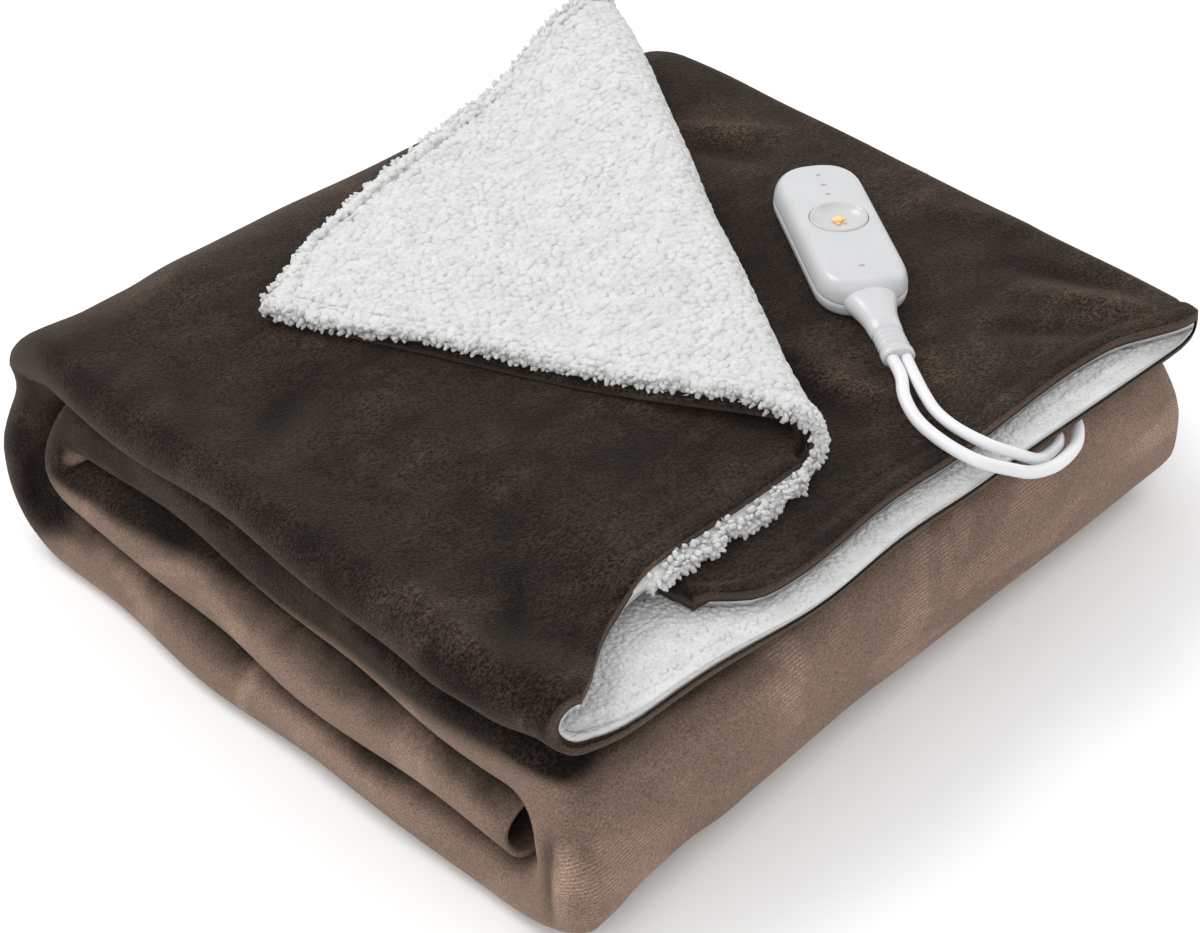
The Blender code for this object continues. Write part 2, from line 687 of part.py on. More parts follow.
def add_cord(name, route, radius, material, collection):
    points = smooth_curve(route, CORD_STEP * radius)
    heading = (points[1] - points[0]).normalized()
    points[0] = points[0] + heading * 2 * SKIN_GAP
    curve = bpy.data.curves.new(name, "CURVE")
    curve.dimensions = "3D"
    curve.bevel_depth = radius
    curve.bevel_resolution = 2
    curve.use_fill_caps = True
    line = curve.splines.new("POLY")
    line.points.add(len(points) - 1)
    for spot, point in zip(line.points, points):
        spot.co = (*(point - CENTRE), 1.0)
    return add_object(name, curve, material, collection)


def rounded_section(half_width, low, high, points):
    """Rounded rectangle in the x-z plane about x = 0."""
    middle, half_height = (low + high) / 2, (high - low) / 2
    section = []
    for index in range(points):
        turn = 2 * math.pi * (index + 0.5) / points
        across, up = math.cos(turn), math.sin(turn)
        section.append((
            half_width * math.copysign(abs(across) ** 0.5, across),
            middle + half_height * math.copysign(abs(up) ** 0.5, up),
        ))
    return section


def add_coil(white, parts):
    """The wound length as one turned ring, with a tie round it."""
    place = COIL_PLACE - CENTRE.xy
    section = bmesh.new()
    made = bmesh.ops.create_circle(section, cap_ends=False, segments=10, radius=1.0)
    for vertex, (x, z) in zip(made["verts"], rounded_section(COIL_HALF_PACK, COIL_LOW, COIL_TOP, 10)):
        vertex.co = (COIL_RADIUS + x, 0.0, z)
    mesh = bpy.data.meshes.new("mains_coil")
    section.to_mesh(mesh)
    section.free()
    mesh.shade_smooth()
    coil = add_object("mains_coil", mesh, white, parts)
    coil.location = (place.x, place.y, 0.0)
    screw = coil.modifiers.new("turn", "SCREW")
    screw.steps = screw.render_steps = COIL_STEPS
    screw.use_merge_vertices = True
    screw.merge_threshold = 0.00005
    screw.use_normal_calculate = True

    band = bmesh.new()
    made = bmesh.ops.create_circle(band, cap_ends=False, segments=16, radius=1.0)
    outline = rounded_section(COIL_HALF_PACK + TIE_ROOM, COIL_LOW - TIE_ROOM, COIL_TOP + TIE_ROOM, TIE_POINTS)
    for vertex, (x, z) in zip(made["verts"], outline):
        vertex.co = (COIL_RADIUS + x, -TIE_WIDTH / 2, z)
    wide = bmesh.ops.extrude_edge_only(band, edges=band.edges[:])
    for item in wide["geom"]:
        if isinstance(item, bmesh.types.BMVert):
            item.co.y = TIE_WIDTH / 2
    bmesh.ops.recalc_face_normals(band, faces=band.faces)
    tie_mesh = bpy.data.meshes.new("coil_tie")
    band.to_mesh(tie_mesh)
    band.free()
    tie = add_object("coil_tie", tie_mesh, white, parts)
    tie.location = coil.location
    wall = tie.modifiers.new("wall", "SOLIDIFY")
    wall.thickness = TIE_THICKNESS
    wall.offset = 1.0


PLUG_WIDTH = 0.0200
PLUG_THICKNESS = 0.0150
PLUG_NECK = 0.0110
PLUG_LENGTH = 0.0270
BLADE_SPACING = 0.0127
BLADE_LENGTH = 0.0170
BLADE_WIDTH = 0.0063
BLADE_THICKNESS = 0.0015
# place along the plug, half width and half height
PLUG_RINGS = (
    (0.0, 0.0042, 0.0042),
    (0.0090, 0.0050, 0.0048),
    (PLUG_NECK, 0.0074, 0.0062),
    (PLUG_NECK + 0.0030, 0.0094, 0.0072),
    (PLUG_NECK + 0.0180, PLUG_WIDTH / 2, PLUG_THICKNESS / 2),
    (PLUG_NECK + 0.0250, 0.0096, 0.0073),
    (PLUG_NECK + PLUG_LENGTH, 0.0086, 0.0064),
)


def add_plug(white, brass, parts):
    """Moulded two-blade plug lying on the floor."""
    place = Vector((PLUG_PLACE.x, PLUG_PLACE.y, PLUG_HEIGHT)) - CENTRE
    rings = []
    for along, half_width, half_height in PLUG_RINGS:
        section = rounded_section(half_width, -half_height, half_height, 20)
        rings.append([(x, along, z) for x, z in section])
    body = add_object("plug_body", ring_solid("plug_body", rings), white, parts)
    body.location = place
    for number, side in ((1, -1), (2, 1)):
        blade = bmesh.new()
        bmesh.ops.create_cube(blade, size=1.0)
        size = Matrix.Diagonal((BLADE_THICKNESS, BLADE_LENGTH, BLADE_WIDTH, 1.0))
        bmesh.ops.transform(blade, matrix=size, verts=blade.verts)
        mesh = bpy.data.meshes.new("plug_blade_%d" % number)
        blade.to_mesh(mesh)
        blade.free()
        item = add_object(mesh.name, mesh, brass, parts)
        reach = PLUG_NECK + PLUG_LENGTH + SKIN_GAP + BLADE_LENGTH / 2
        item.location = place + Vector((side * BLADE_SPACING / 2, reach, 0.0))


def main():
    clear_scene()
    parts = bpy.data.collections.new("heated_throw")
    cutters = bpy.data.collections.new("cutters")
    bpy.context.scene.collection.children.link(parts)
    bpy.context.scene.collection.children.link(cutters)
    brown = new_material("brown_plush", (0.045, 0.030, 0.024), 0.95)
    fleece = new_material("white_sherpa", (0.80, 0.79, 0.77), 0.95)
    white = new_material("white_plastic", (0.80, 0.80, 0.81), 0.25)
    sleeve = new_material("white_cord", (0.80, 0.80, 0.82), 0.40)
    amber = new_material("amber_light", (0.90, 0.42, 0.10), 0.30)
    metal = new_material("plated_metal", (0.75, 0.72, 0.66), 0.25, 1.0)
    add_panel("plush_panel", 0.0, PLUSH, brown, parts)
    add_panel("sherpa_panel", PLUSH + SKIN_GAP, SHERPA, fleece, parts)

    holder = bpy.data.objects.new("control", None)
    parts.objects.link(holder)
    spot = CONTROL_PLACE - CENTRE.xy
    holder.location = (spot.x, spot.y, CONTROL_SEAT)
    holder.rotation_euler.z = CONTROL_TURN
    add_control(white, amber, parts, cutters, holder)
    add_strain_relief(white, parts, cutters, holder)

    add_cord("blanket_lead", LEAD_ROUTE, LEAD_RADIUS, sleeve, parts)
    add_cord("mains_lead", MAINS_ROUTE, MAINS_RADIUS, sleeve, parts)
    add_cord("mains_tail", TAIL_ROUTE, MAINS_RADIUS, sleeve, parts)
    add_coil(sleeve, parts)
    add_plug(white, metal, parts)


main()
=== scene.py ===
"""Looks of the folded heated throw: dark plush outside, white sherpa inside, one corner turned back,
with its hand control, cords and plug. Metres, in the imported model's own frame."""

import math

import bmesh
import bpy
from mathutils import Euler, Matrix, Vector, noise

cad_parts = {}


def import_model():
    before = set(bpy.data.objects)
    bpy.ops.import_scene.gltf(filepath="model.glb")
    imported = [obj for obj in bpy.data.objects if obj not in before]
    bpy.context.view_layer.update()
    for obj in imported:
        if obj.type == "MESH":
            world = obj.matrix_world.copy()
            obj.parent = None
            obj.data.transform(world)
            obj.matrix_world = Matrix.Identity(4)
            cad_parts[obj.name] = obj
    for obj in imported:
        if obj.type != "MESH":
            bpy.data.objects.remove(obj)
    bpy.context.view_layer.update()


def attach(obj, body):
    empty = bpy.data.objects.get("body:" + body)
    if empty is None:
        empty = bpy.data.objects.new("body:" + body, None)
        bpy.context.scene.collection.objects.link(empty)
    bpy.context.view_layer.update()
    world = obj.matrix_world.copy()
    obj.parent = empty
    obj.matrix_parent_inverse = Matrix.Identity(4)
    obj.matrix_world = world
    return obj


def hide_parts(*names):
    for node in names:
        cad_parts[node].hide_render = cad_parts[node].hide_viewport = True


# ================================================================ sizes of the cloth
PLUSH = 0.0030  # thickness of the dark plush panel
SHERPA = 0.0050  # thickness of the white sherpa panel
SKIN_GAP = 0.0003  # between two pieces that touch
PLY = PLUSH + SKIN_GAP + SHERPA
CLOTH_WIDTH = 1.27
CLOTH_LENGTH = 1.515

STACK_WIDTH = 0.427  # left ridge to right ridge
STACK_DEPTH = 0.400  # front roll to back roll
SHERPA_ROOM = 0.0014  # between the two sherpa faces of the strip
LAYER_ROOM = 0.0018  # between the middle and the top layer
LEVEL_ROOM = 0.0020  # between the rolled levels
CORD_ROOM = 0.0070  # under the top level, where the cords run in

MIDDLE_TOP = 2 * PLY + SHERPA_ROOM
STRIP = MIDDLE_TOP + LAYER_ROOM + PLY  # the three layers together
LEFT_R = STRIP / 2
RIGHT_R = MIDDLE_TOP / 2

# the turned corner: plan points of its fold line and of the corner before folding
FOLD_FRONT = Vector((0.189, 0.051))
FOLD_BACK = Vector((0.398, 0.398))
LOOSE_CORNER = Vector((0.4895, 0.0617))
FOLD_BOW = -0.0055  # how far the fold line bows out; less than 0 is in
FOLD_R_FRONT = 0.0040
FOLD_R_BACK = 0.0120
CORNER_KEPT = 0.93  # of its height, where the tip is rounded off
CORNER_BOW = 0.028  # how far its back edge bows out
CORNER_BOW_PLACE = 1.7  # above 1 the bow is nearer the tip
CORNER_BOW_FULLNESS = 0.45  # below 1 the bow is fuller
CORNER_LIE = 0.0008  # between it and the layer that it lies on
CORNER_LIE_REACH = 0.08

TOP_FREE_X = 0.415  # free end of the top layer behind the turned corner
TOP_FLAT = LOOSE_CORNER.x - LEFT_R
BOTTOM_FLAT = STACK_WIDTH - LEFT_R - RIGHT_R
BENDS_FLAT = math.pi * (LEFT_R + RIGHT_R)
MIDDLE_END_X = STACK_WIDTH - RIGHT_R - (CLOTH_WIDTH - TOP_FLAT - BENDS_FLAT - BOTTOM_FLAT)

RIM_START = 0.004  # front rim of the top level
TOP_LAG = 0.050  # how far the top layer's front edge lies back
TOP_LAG_SHARE = 0.9
TOP_LAG_FADE = 0.12
TOP_LAG_CURVES = (4.0, 1.0)
# centre and half width along x, and depth, of the middle layer's lie behind its front rim
MIDDLE_LAGS = ((0.230, 0.400, 0.014), (0.345, 0.050, 0.005), (MIDDLE_END_X, 0.014, 0.014))
MIDDLE_LAG_RUN = 0.06
MIDDLE_LAG_REACH = 0.25
SAG = 0.0065  # of the top layer beside the middle layer's end
SAG_BACK_SHARE = 0.35
SAG_RUN = 0.030
SAG_FRONT_REACH = 0.12
SAG_EDGE_X = MIDDLE_END_X - 0.0035

# ---------------------------------------------------------------- the roll
LEVEL_4 = STRIP
LEVEL_3 = 2 * STRIP + LEVEL_ROOM
LEVEL_2 = LEVEL_3 + LEVEL_ROOM
LEVEL_1 = LEVEL_2 + STRIP + CORD_ROOM
STACK_HEIGHT = LEVEL_1 + STRIP
BACK_OUTER = STACK_HEIGHT / 2
FRONT_OUTER = (LEVEL_2 + STRIP) / 2
INNER_TURN = (LEVEL_2 - LEVEL_3) / 2
BACK_Y = STACK_DEPTH - BACK_OUTER
FRONT_Y = FRONT_OUTER
NEUTRAL = STRIP / 2

# kind, inner radius or length, height of the centre or of the inner face, heading along y, rows
ROLL = (
    ("run", BACK_Y, LEVEL_1, 1, 0),
    ("turn", BACK_OUTER - STRIP, BACK_OUTER, 1, 30),
    ("run", BACK_Y - FRONT_Y, LEVEL_4, -1, 22),
    ("turn", FRONT_OUTER - STRIP, FRONT_OUTER, -1, 26),
    ("run", BACK_Y - FRONT_Y, LEVEL_2, 1, 24),
    ("turn", INNER_TURN, LEVEL_3 + INNER_TURN, 1, 12),
    ("run", BACK_Y, LEVEL_3, -1, 22),
)
FLAP_ROWS = 82  # rows of cloth across the turned corner
FLAP_ROW_POWER = 1.25  # closer at the front hem
# panel across the cloth, from the loose corner to the middle layer's end, and its columns
PANELS = (
    ("corner", 56),
    ("fold", 14),
    ("top", 58),
    ("left_bend", 16),
    ("bottom", 44),
    ("right_bend", 12),
    ("middle", 50),
)

# ---------------------------------------------------------------- how unevenly it lies
# height of each level's ridge, how far it lies in at the left, how far out at the right
LEVEL_SHIFTS = (
    (0.000, -0.004, 0.008),
    (0.044, -0.001, 0.010),
    (0.075, 0.008, 0.006),
    (0.108, -0.004, -0.001),
    (0.200, -0.004, -0.001),
)
LEFT_REACH = 0.20
RIGHT_REACH = (0.15, 0.40)
RIGHT_WAVE = (0.385, 0.050, 0.0075)  # place and half width along y, and depth
# height, radians a metre along y and along z, and phase of the waves of the left ridges
RIDGE_WAVES = ((0.0022, 21, 40, 0.0), (0.0014, 47, -95, 1.0))
# centre and half width along x, and depth, of the waves in the top level's front rim
RIM_WAVES = ((0.0, 0.022, 0.014), (0.145, 0.050, -0.008), (0.250, 0.030, -0.002), (0.437, 0.016, 0.010))
RIM_WAVES_REACH = 0.09
TOP_CORNER_IN = 0.0165
TOP_CORNER_REACH = 0.08
LOW_BACK_OUT = 0.012
SKEW = 0.048
TOP_SKEW_LESS = 0.028
TOP_START = (0.080, 0.105)
LOW_END = 0.09
FRONT_BULGE = 0.008
FRONT_BULGE_HEIGHT = (0.014, 0.020)
FRONT_BULGE_REACH = 0.07
LEFT_BULGE = 0.014
LEFT_BULGE_REACH = 0.10
FACE_WAVE = (0.0010, 14, 60)
TOP_SWELL = (0.008, 0.28, 11)
CORNER_DROP = (0.035, 0.05, 0.07)
# the middle of the stack as it lies, from its left ridge and front roll
CENTRE = Vector((STACK_WIDTH / 2 - 0.0014, STACK_DEPTH / 2 + 0.0045, 0.0))


def smooth(value):
    value = min(1.0, max(0.0, value))
    return value * value * (3 - 2 * value)


def mix(a, b, share):
    return a + (b - a) * share


def bump(value, centre, half_width):
    return math.exp(-(((value - centre) / half_width) ** 2))


# ================================================================ folds of the cloth
LENGTHS = [size if kind == "run" else math.pi * (size + NEUTRAL) for kind, size, *_ in ROLL]


def roll(along, rise):
    """Side view of the roll: y and z at a length along it and a height above its inner face."""
    start_y = 0.0
    for (kind, size, level, heading, _), length in zip(ROLL, LENGTHS):
        if along <= length or level == LEVEL_3:
            if kind == "run":
                return start_y + heading * along, level + heading * rise
            angle = math.pi * along / length
            reach = size + rise
            return start_y + heading * reach * math.sin(angle), level + heading * reach * math.cos(angle)
        along -= length
        if kind == "run":
            start_y += heading * size
    return None


def top_length(reach):
    if reach <= BACK_Y:
        return reach
    return BACK_Y + (reach - BACK_Y) * (BACK_OUTER - NEUTRAL) / BACK_OUTER


LAST_CORNER_ROW = top_length(FOLD_BACK.y) - TOP_LAG * TOP_LAG_SHARE


def cloth_rows():
    """Length along the roll of each row of the cloth, and its share along the turned corner."""
    rows = []
    for index in range(FLAP_ROWS + 1):
        share = (index / FLAP_ROWS) ** FLAP_ROW_POWER
        rows.append((mix(RIM_START, LAST_CORNER_ROW, share), share))
    along = 0.0
    for (_, _, _, _, count), length in zip(ROLL, LENGTHS):
        begin, end = max(along, rows[-1][0]), along + length
        if along == sum(LENGTHS[:-1]):
            end = CLOTH_LENGTH + RIM_START
        for index in range(count):
            rows.append((mix(begin, end, (index + 1) / count), None))
        along += length
    return rows


def cloth_columns():
    """Panel and place in it of each column, with panels sharing the column where they meet."""
    columns = [(PANELS[0][0], 0.0)]
    for panel, count in PANELS:
        columns += [(panel, (index + 1) / count) for index in range(count)]
    return columns


def middle_lag(x, along):
    away = smooth((STACK_WIDTH - x) / MIDDLE_LAG_RUN) * (1 - smooth(along / MIDDLE_LAG_REACH))
    return away * sum(back * bump(x, centre, width) for centre, width, back in MIDDLE_LAGS)


def top_sag(x, along):
    room = min(x - LEFT_R, SAG_EDGE_X - x)
    front = 1 - smooth(along / SAG_FRONT_REACH)
    return SAG * smooth(room / SAG_RUN) * mix(SAG_BACK_SHARE, 1.0, front)


FOLD_LINE = (FOLD_BACK - FOLD_FRONT).normalized()
FOLD_OUTWARD = Vector((FOLD_LINE.y, -FOLD_LINE.x))
CORNER_HEIGHT = (LOOSE_CORNER - FOLD_FRONT).dot(FOLD_OUTWARD)


def fold_edge(share):
    """Plan point of the fold line, which bows in a little."""
    return FOLD_FRONT.lerp(FOLD_BACK, share) + FOLD_OUTWARD * FOLD_BOW * math.sin(math.pi * share)


def strip_point(panel, part, along, share, depth):
    """x, length along the roll and rise of a point of the strip."""
    if panel == "top":
        edge_share = 1.0 if share is None else share
        edge = fold_edge(edge_share)
        fade = 1.0 if share is not None else 1 - smooth((along - LAST_CORNER_ROW) / TOP_LAG_FADE)
        start_x = edge.x if share is not None else TOP_FREE_X
        lag = (top_length(edge.y) - min(along, LAST_CORNER_ROW)) * fade
        x = mix(start_x, LEFT_R, part)
        lagged = 1 - part ** mix(*TOP_LAG_CURVES, smooth(edge_share))
        return x, along + lag * lagged, STRIP - depth - top_sag(x, along)
    if panel == "left_bend":
        reach = LEFT_R - depth
        angle = math.pi * part
        return LEFT_R - reach * math.sin(angle), along, LEFT_R + reach * math.cos(angle)
    if panel == "bottom":
        return mix(LEFT_R, STACK_WIDTH - RIGHT_R, part), along, depth
    if panel == "right_bend":
        reach = RIGHT_R - depth
        angle = math.pi * part
        return STACK_WIDTH - RIGHT_R + reach * math.sin(angle), along, RIGHT_R - reach * math.cos(angle)
    x = mix(STACK_WIDTH - RIGHT_R, MIDDLE_END_X, part)
    return x, along + middle_lag(x, along), MIDDLE_TOP - depth


def corner_reach(panel, part, share):
    """How far a column lies from the fold line, measured on the cloth, and the fold's radius there."""
    radius = mix(FOLD_R_FRONT, FOLD_R_BACK, share)
    turn = math.pi * (radius + PLY / 2)
    if panel == "fold":
        return turn * (1 - part), radius, turn
    return mix(CORNER_HEIGHT * CORNER_KEPT, turn, part), radius, turn


def corner_foot(away, share):
    height_share = away / CORNER_HEIGHT
    curve = math.sin(math.pi * min(1.0, height_share) ** CORNER_BOW_PLACE)
    bow = FOLD_LINE * CORNER_BOW * max(0.0, curve) ** CORNER_BOW_FULLNESS
    return fold_edge(share).lerp(LOOSE_CORNER, height_share) + bow * share - FOLD_OUTWARD * away


def corner_point(panel, part, share, depth):
    """The turned corner, rolled over its fold and laid back on the top layer."""
    away, radius, turn = corner_reach(panel, part, share)
    if away < turn:
        angle = away / (radius + PLY / 2)
        offset = (radius + depth) * math.sin(angle)
        rise = radius - (radius + depth) * math.cos(angle)
    else:
        past = away - turn
        offset = -past
        rise = mix(2 * radius, CORNER_LIE, smooth(past / CORNER_LIE_REACH)) + depth
    plan = corner_foot(away, share) + FOLD_OUTWARD * offset
    y, z = roll(top_length(plan.y), STRIP + rise)
    level = smooth(away / turn)
    return plan.x, mix(y, plan.y, level), mix(z, STACK_HEIGHT + rise, level)


def level_shift(z, side):
    for low, high in zip(LEVEL_SHIFTS, LEVEL_SHIFTS[1:]):
        if z <= high[0]:
            return mix(low[side], high[side], smooth((z - low[0]) / (high[0] - low[0])))
    return LEVEL_SHIFTS[-1][side]


def lie(x, y, z):
    """Shears and waves of the whole stack; z = 0 stays flat."""
    upper = smooth((z - TOP_START[0]) / (TOP_START[1] - TOP_START[0]))
    lower = 1 - smooth(z / LOW_END)
    left = 1 - smooth(x / LEFT_REACH)
    right = smooth((x - RIGHT_REACH[0]) / (RIGHT_REACH[1] - RIGHT_REACH[0]))
    back = min(1.0, max(0.0, y / STACK_DEPTH))

    wave = sum(high * math.sin(along * y + up * z + phase) for high, along, up, phase in RIDGE_WAVES)
    corner = TOP_CORNER_IN * upper * (1 - smooth(y / TOP_CORNER_REACH))
    dx = left * (level_shift(z, 1) + wave + corner - LOW_BACK_OUT * lower * back)
    place, width, deep = RIGHT_WAVE
    dx += right * (level_shift(z, 2) - upper * deep * bump(y, place, width))

    rim = sum(deep * bump(x, centre, width) for centre, width, deep in RIM_WAVES)
    dy = x * (SKEW - TOP_SKEW_LESS * upper * (1 - back)) + upper * rim * (1 - smooth(y / RIM_WAVES_REACH))
    dy -= FRONT_BULGE * bump(z, *FRONT_BULGE_HEIGHT) * (1 - smooth(y / FRONT_BULGE_REACH))
    dy -= LEFT_BULGE * lower * left * (1 - smooth(y / LEFT_BULGE_REACH))
    dy += FACE_WAVE[0] * math.sin(FACE_WAVE[1] * x + FACE_WAVE[2] * z)

    swell = 1 - TOP_SWELL[0] * smooth(1 - x / TOP_SWELL[1]) * math.sin(TOP_SWELL[2] * y)
    swell -= CORNER_DROP[0] * bump(x, 0.0, CORNER_DROP[1]) * bump(y, 0.0, CORNER_DROP[2])
    return Vector((x + dx, y + dy, z * swell)) - CENTRE


def cloth_point(column, row, depth):
    """A point of the cloth in the model's frame; depth runs in from the plush face."""
    panel, part = column
    along, share = row
    if panel in ("corner", "fold"):
        return lie(*corner_point(panel, part, share, depth))
    x, run, rise = strip_point(panel, part, along, share, depth)
    y, z = roll(run, rise)
    return lie(x, y, z)


def flat_place(column, row):
    """Where a point lies on the cloth before it is folded."""
    panel, part = column
    along, share = row
    if panel in ("corner", "fold"):
        away = corner_reach(panel, part, share)[0]
        return corner_foot(away, share) + FOLD_OUTWARD * away
    # Route points: x and y from the stack's left ridge and front roll, z from the floor.
    if panel == "top":
        edge_x = fold_edge(share).x if share is not None else TOP_FREE_X
        return Vector((mix(edge_x, LEFT_R, part), along))
    if panel == "left_bend":
        return Vector((LEFT_R - math.pi * LEFT_R * part, along))
    across = LEFT_R - math.pi * LEFT_R
    if panel == "bottom":
        return Vector((across - BOTTOM_FLAT * part, along))
    across -= BOTTOM_FLAT
    if panel == "right_bend":
        return Vector((across - math.pi * RIGHT_R * part, along))
    across -= math.pi * RIGHT_R
    return Vector((across - (STACK_WIDTH - RIGHT_R - MIDDLE_END_X) * part, along))


# ================================================================ creases and hems of the cloth
HEM = 0.0100  # from the cut edge to the stitch line
HEM_PUFF = 0.0006  # how high it stands between them
STITCH_TROUGH = 0.0006  # how deep the stitch line lies
STITCH_WIDTH = 0.0016
TOP_WAVE = 0.0011  # broad unevenness of the top
TOP_WAVE_SCALE = 15.0
SIDE_WAVE_SHARE = 0.5  # of it on the rolled front and the left ridges
FLOOR_CLEAR = 0.012  # nothing is raised lower than this
CONTROL_CLEAR = 0.045  # the cloth lies level this near to the control
CONTROL_FADE = 0.04
STROKE_REACH = 3  # half widths from a crease at which it ends
STROKE_ENDS = (0.12, 0.88)  # how much of a half wave a crease's height follows along it

# Creases and ridges of the top: ends in metres from the left ridge and front roll,
# half width, height (a ridge is +, a trough -).
TOP_CREASES = (
    ((0.0747, 0.2471), (0.0341, 0.2243), 0.009, -0.0024),
    ((0.0160, 0.1000), (0.0060, 0.0279), 0.006, 0.0027),
    ((0.0535, 0.0822), (0.0199, 0.0515), 0.006, -0.0027),
    ((0.0414, 0.2994), (0.0089, 0.2430), 0.009, -0.0021),
    ((0.0600, 0.1500), (0.0300, 0.1200), 0.008, 0.0018),
    ((0.3657, 0.2997), (0.3937, 0.2651), 0.007, 0.0027),
    ((0.3528, 0.2866), (0.3683, 0.2514), 0.007, -0.0027),
    ((0.2598, 0.1210), (0.2542, 0.0729), 0.007, 0.0033),
    ((0.2428, 0.1206), (0.2339, 0.0664), 0.008, -0.0030),
    ((0.3755, 0.0806), (0.4034, 0.0256), 0.007, 0.0027),
    ((0.3854, 0.1010), (0.4101, 0.0482), 0.007, -0.0024),
    ((0.3325, 0.0751), (0.3731, 0.0371), 0.007, -0.0021),
    ((0.3950, 0.1700), (0.4150, 0.1200), 0.008, 0.0024),
    ((0.0300, 0.3300), (0.1000, 0.3650), 0.012, 0.0021),
)
# the same on the turned corner, whose sherpa lies up
CORNER_CREASES = (
    ((0.2626, 0.3129), (0.2899, 0.2874), 0.007, -0.0022),
    ((0.2218, 0.3378), (0.2673, 0.3219), 0.010, -0.0016),
    ((0.2445, 0.2390), (0.2304, 0.1701), 0.012, 0.0016),
    ((0.1700, 0.3000), (0.2200, 0.2600), 0.014, -0.0016),
)
CORNER_WAVE = 0.0016
CORNER_HEM = 2.6  # its hem stands up more than the plush one
# the same on the rolled front and the left ridges: ends as x, y and z
SIDE_CREASES = (
    ((0.0005, 0.3886, 0.0607), (-0.0060, 0.3241, 0.1100), 0.005, 0.0040),
    ((0.0025, 0.3788, 0.0843), (-0.0046, 0.3398, 0.1080), 0.007, -0.0050),
    ((-0.0004, 0.3744, 0.0499), (-0.0081, 0.3638, 0.0268), 0.006, -0.0030),
    ((-0.0081, 0.3638, 0.0340), (-0.0034, 0.3335, 0.0237), 0.006, -0.0030),
    ((0.0030, 0.0120, 0.0600), (0.0000, 0.0060, 0.0200), 0.004, -0.0030),
    ((0.0040, 0.0040, 0.0560), (-0.0010, 0.0000, 0.0200), 0.004, 0.0020),
    ((0.0120, 0.0000, 0.0600), (0.0160, -0.0060, 0.0200), 0.004, -0.0016),
    ((0.030, -0.002, 0.078), (0.060, -0.006, 0.050), 0.008, -0.0010),
    ((0.110, 0.000, 0.070), (0.190, -0.004, 0.050), 0.012, 0.0008),
    ((0.230, 0.004, 0.066), (0.330, 0.004, 0.040), 0.014, -0.0009),
    ((0.360, 0.010, 0.070), (0.420, 0.016, 0.030), 0.012, 0.0010),
    ((-0.002, 0.060, 0.075), (0.002, 0.170, 0.070), 0.007, -0.0010),
    ((-0.002, 0.220, 0.072), (0.002, 0.330, 0.078), 0.008, 0.0010),
    ((-0.004, 0.090, 0.020), (-0.002, 0.200, 0.016), 0.008, 0.0010),
)


def stroke(spot, start, end, half_width, height):
    """Height of a soft crease or ridge that fades towards its ends."""
    run = end - start
    share = max(0.0, min(1.0, (spot - start).dot(run) / run.length_squared))
    distance = (spot - start.lerp(end, share)).length
    if distance > STROKE_REACH * half_width:
        return 0.0
    return height * bump(distance, 0.0, half_width) * math.sin(math.pi * mix(*STROKE_ENDS, share))


def creased(spot, creases):
    """Height of a table's creases and ridges at a place."""
    return sum(stroke(spot, Vector(start), Vector(end), width, height) for start, end, width, height in creases)


def hem_form(edge):
    """The cut edge is turned in and stitched down: a puffed hem with a sewn line behind it."""
    if edge > HEM + STROKE_REACH * STITCH_WIDTH:
        return 0.0
    puff = HEM_PUFF * math.sin(math.pi * min(1.0, edge / HEM))
    return puff - STITCH_TROUGH * bump(edge, HEM, STITCH_WIDTH)


def cloth_form(panel, place, edge):
    """How far the cloth stands out from its even fold, from its hems, creases and soft waves."""
    form = hem_form(edge)
    spot = place + CENTRE
    if spot.z < FLOOR_CLEAR:
        return 0.0
    on_top = spot.z > LEVEL_1
    if panel in ("corner", "fold"):
        wave = CORNER_WAVE * noise.noise(spot * TOP_WAVE_SCALE)
        return -(wave + CORNER_HEM * form + creased(spot.xy, CORNER_CREASES))
    outer = panel in ("top", "left_bend", "right_bend") or (panel == "middle" and on_top)
    if not outer:
        return form
    wave = TOP_WAVE * noise.noise(spot * TOP_WAVE_SCALE)
    if not on_top:
        return form + SIDE_WAVE_SHARE * wave + creased(spot, SIDE_CREASES)
    clear = smooth(((spot.xy - CONTROL_PLACE).length - CONTROL_CLEAR) / CONTROL_FADE)
    return form + clear * (wave + creased(spot.xy, TOP_CREASES))


def edge_distances(flat, fold_column):
    """How far each point lies from the nearest cut edge that shows."""
    edges = {}
    for (column, row), spot in flat.items():
        distance = (spot - flat[column, 0]).length
        if column < fold_column:
            distance = min(distance, (spot - flat[column, FLAP_ROWS]).length, (spot - flat[0, row]).length)
        edges[column, row] = distance
    return edges


END_COLUMN = 136  # middle column of the left bend
END_COLUMNS = 9  # columns on either side over which its set-in end holds, and then fades
END_ROWS = 16
END_IN = 0.060  # how far in the sherpa's end lies there
SET_BACK = 0.0060  # of the sherpa from the turned corner's front hem
SET_BACK_REACH = 0.016
SET_BACK_START = (0.12, 0.25)  # share of the corner's columns where it sets in, and over how much
SET_BACK_END = (0.90, 0.10)


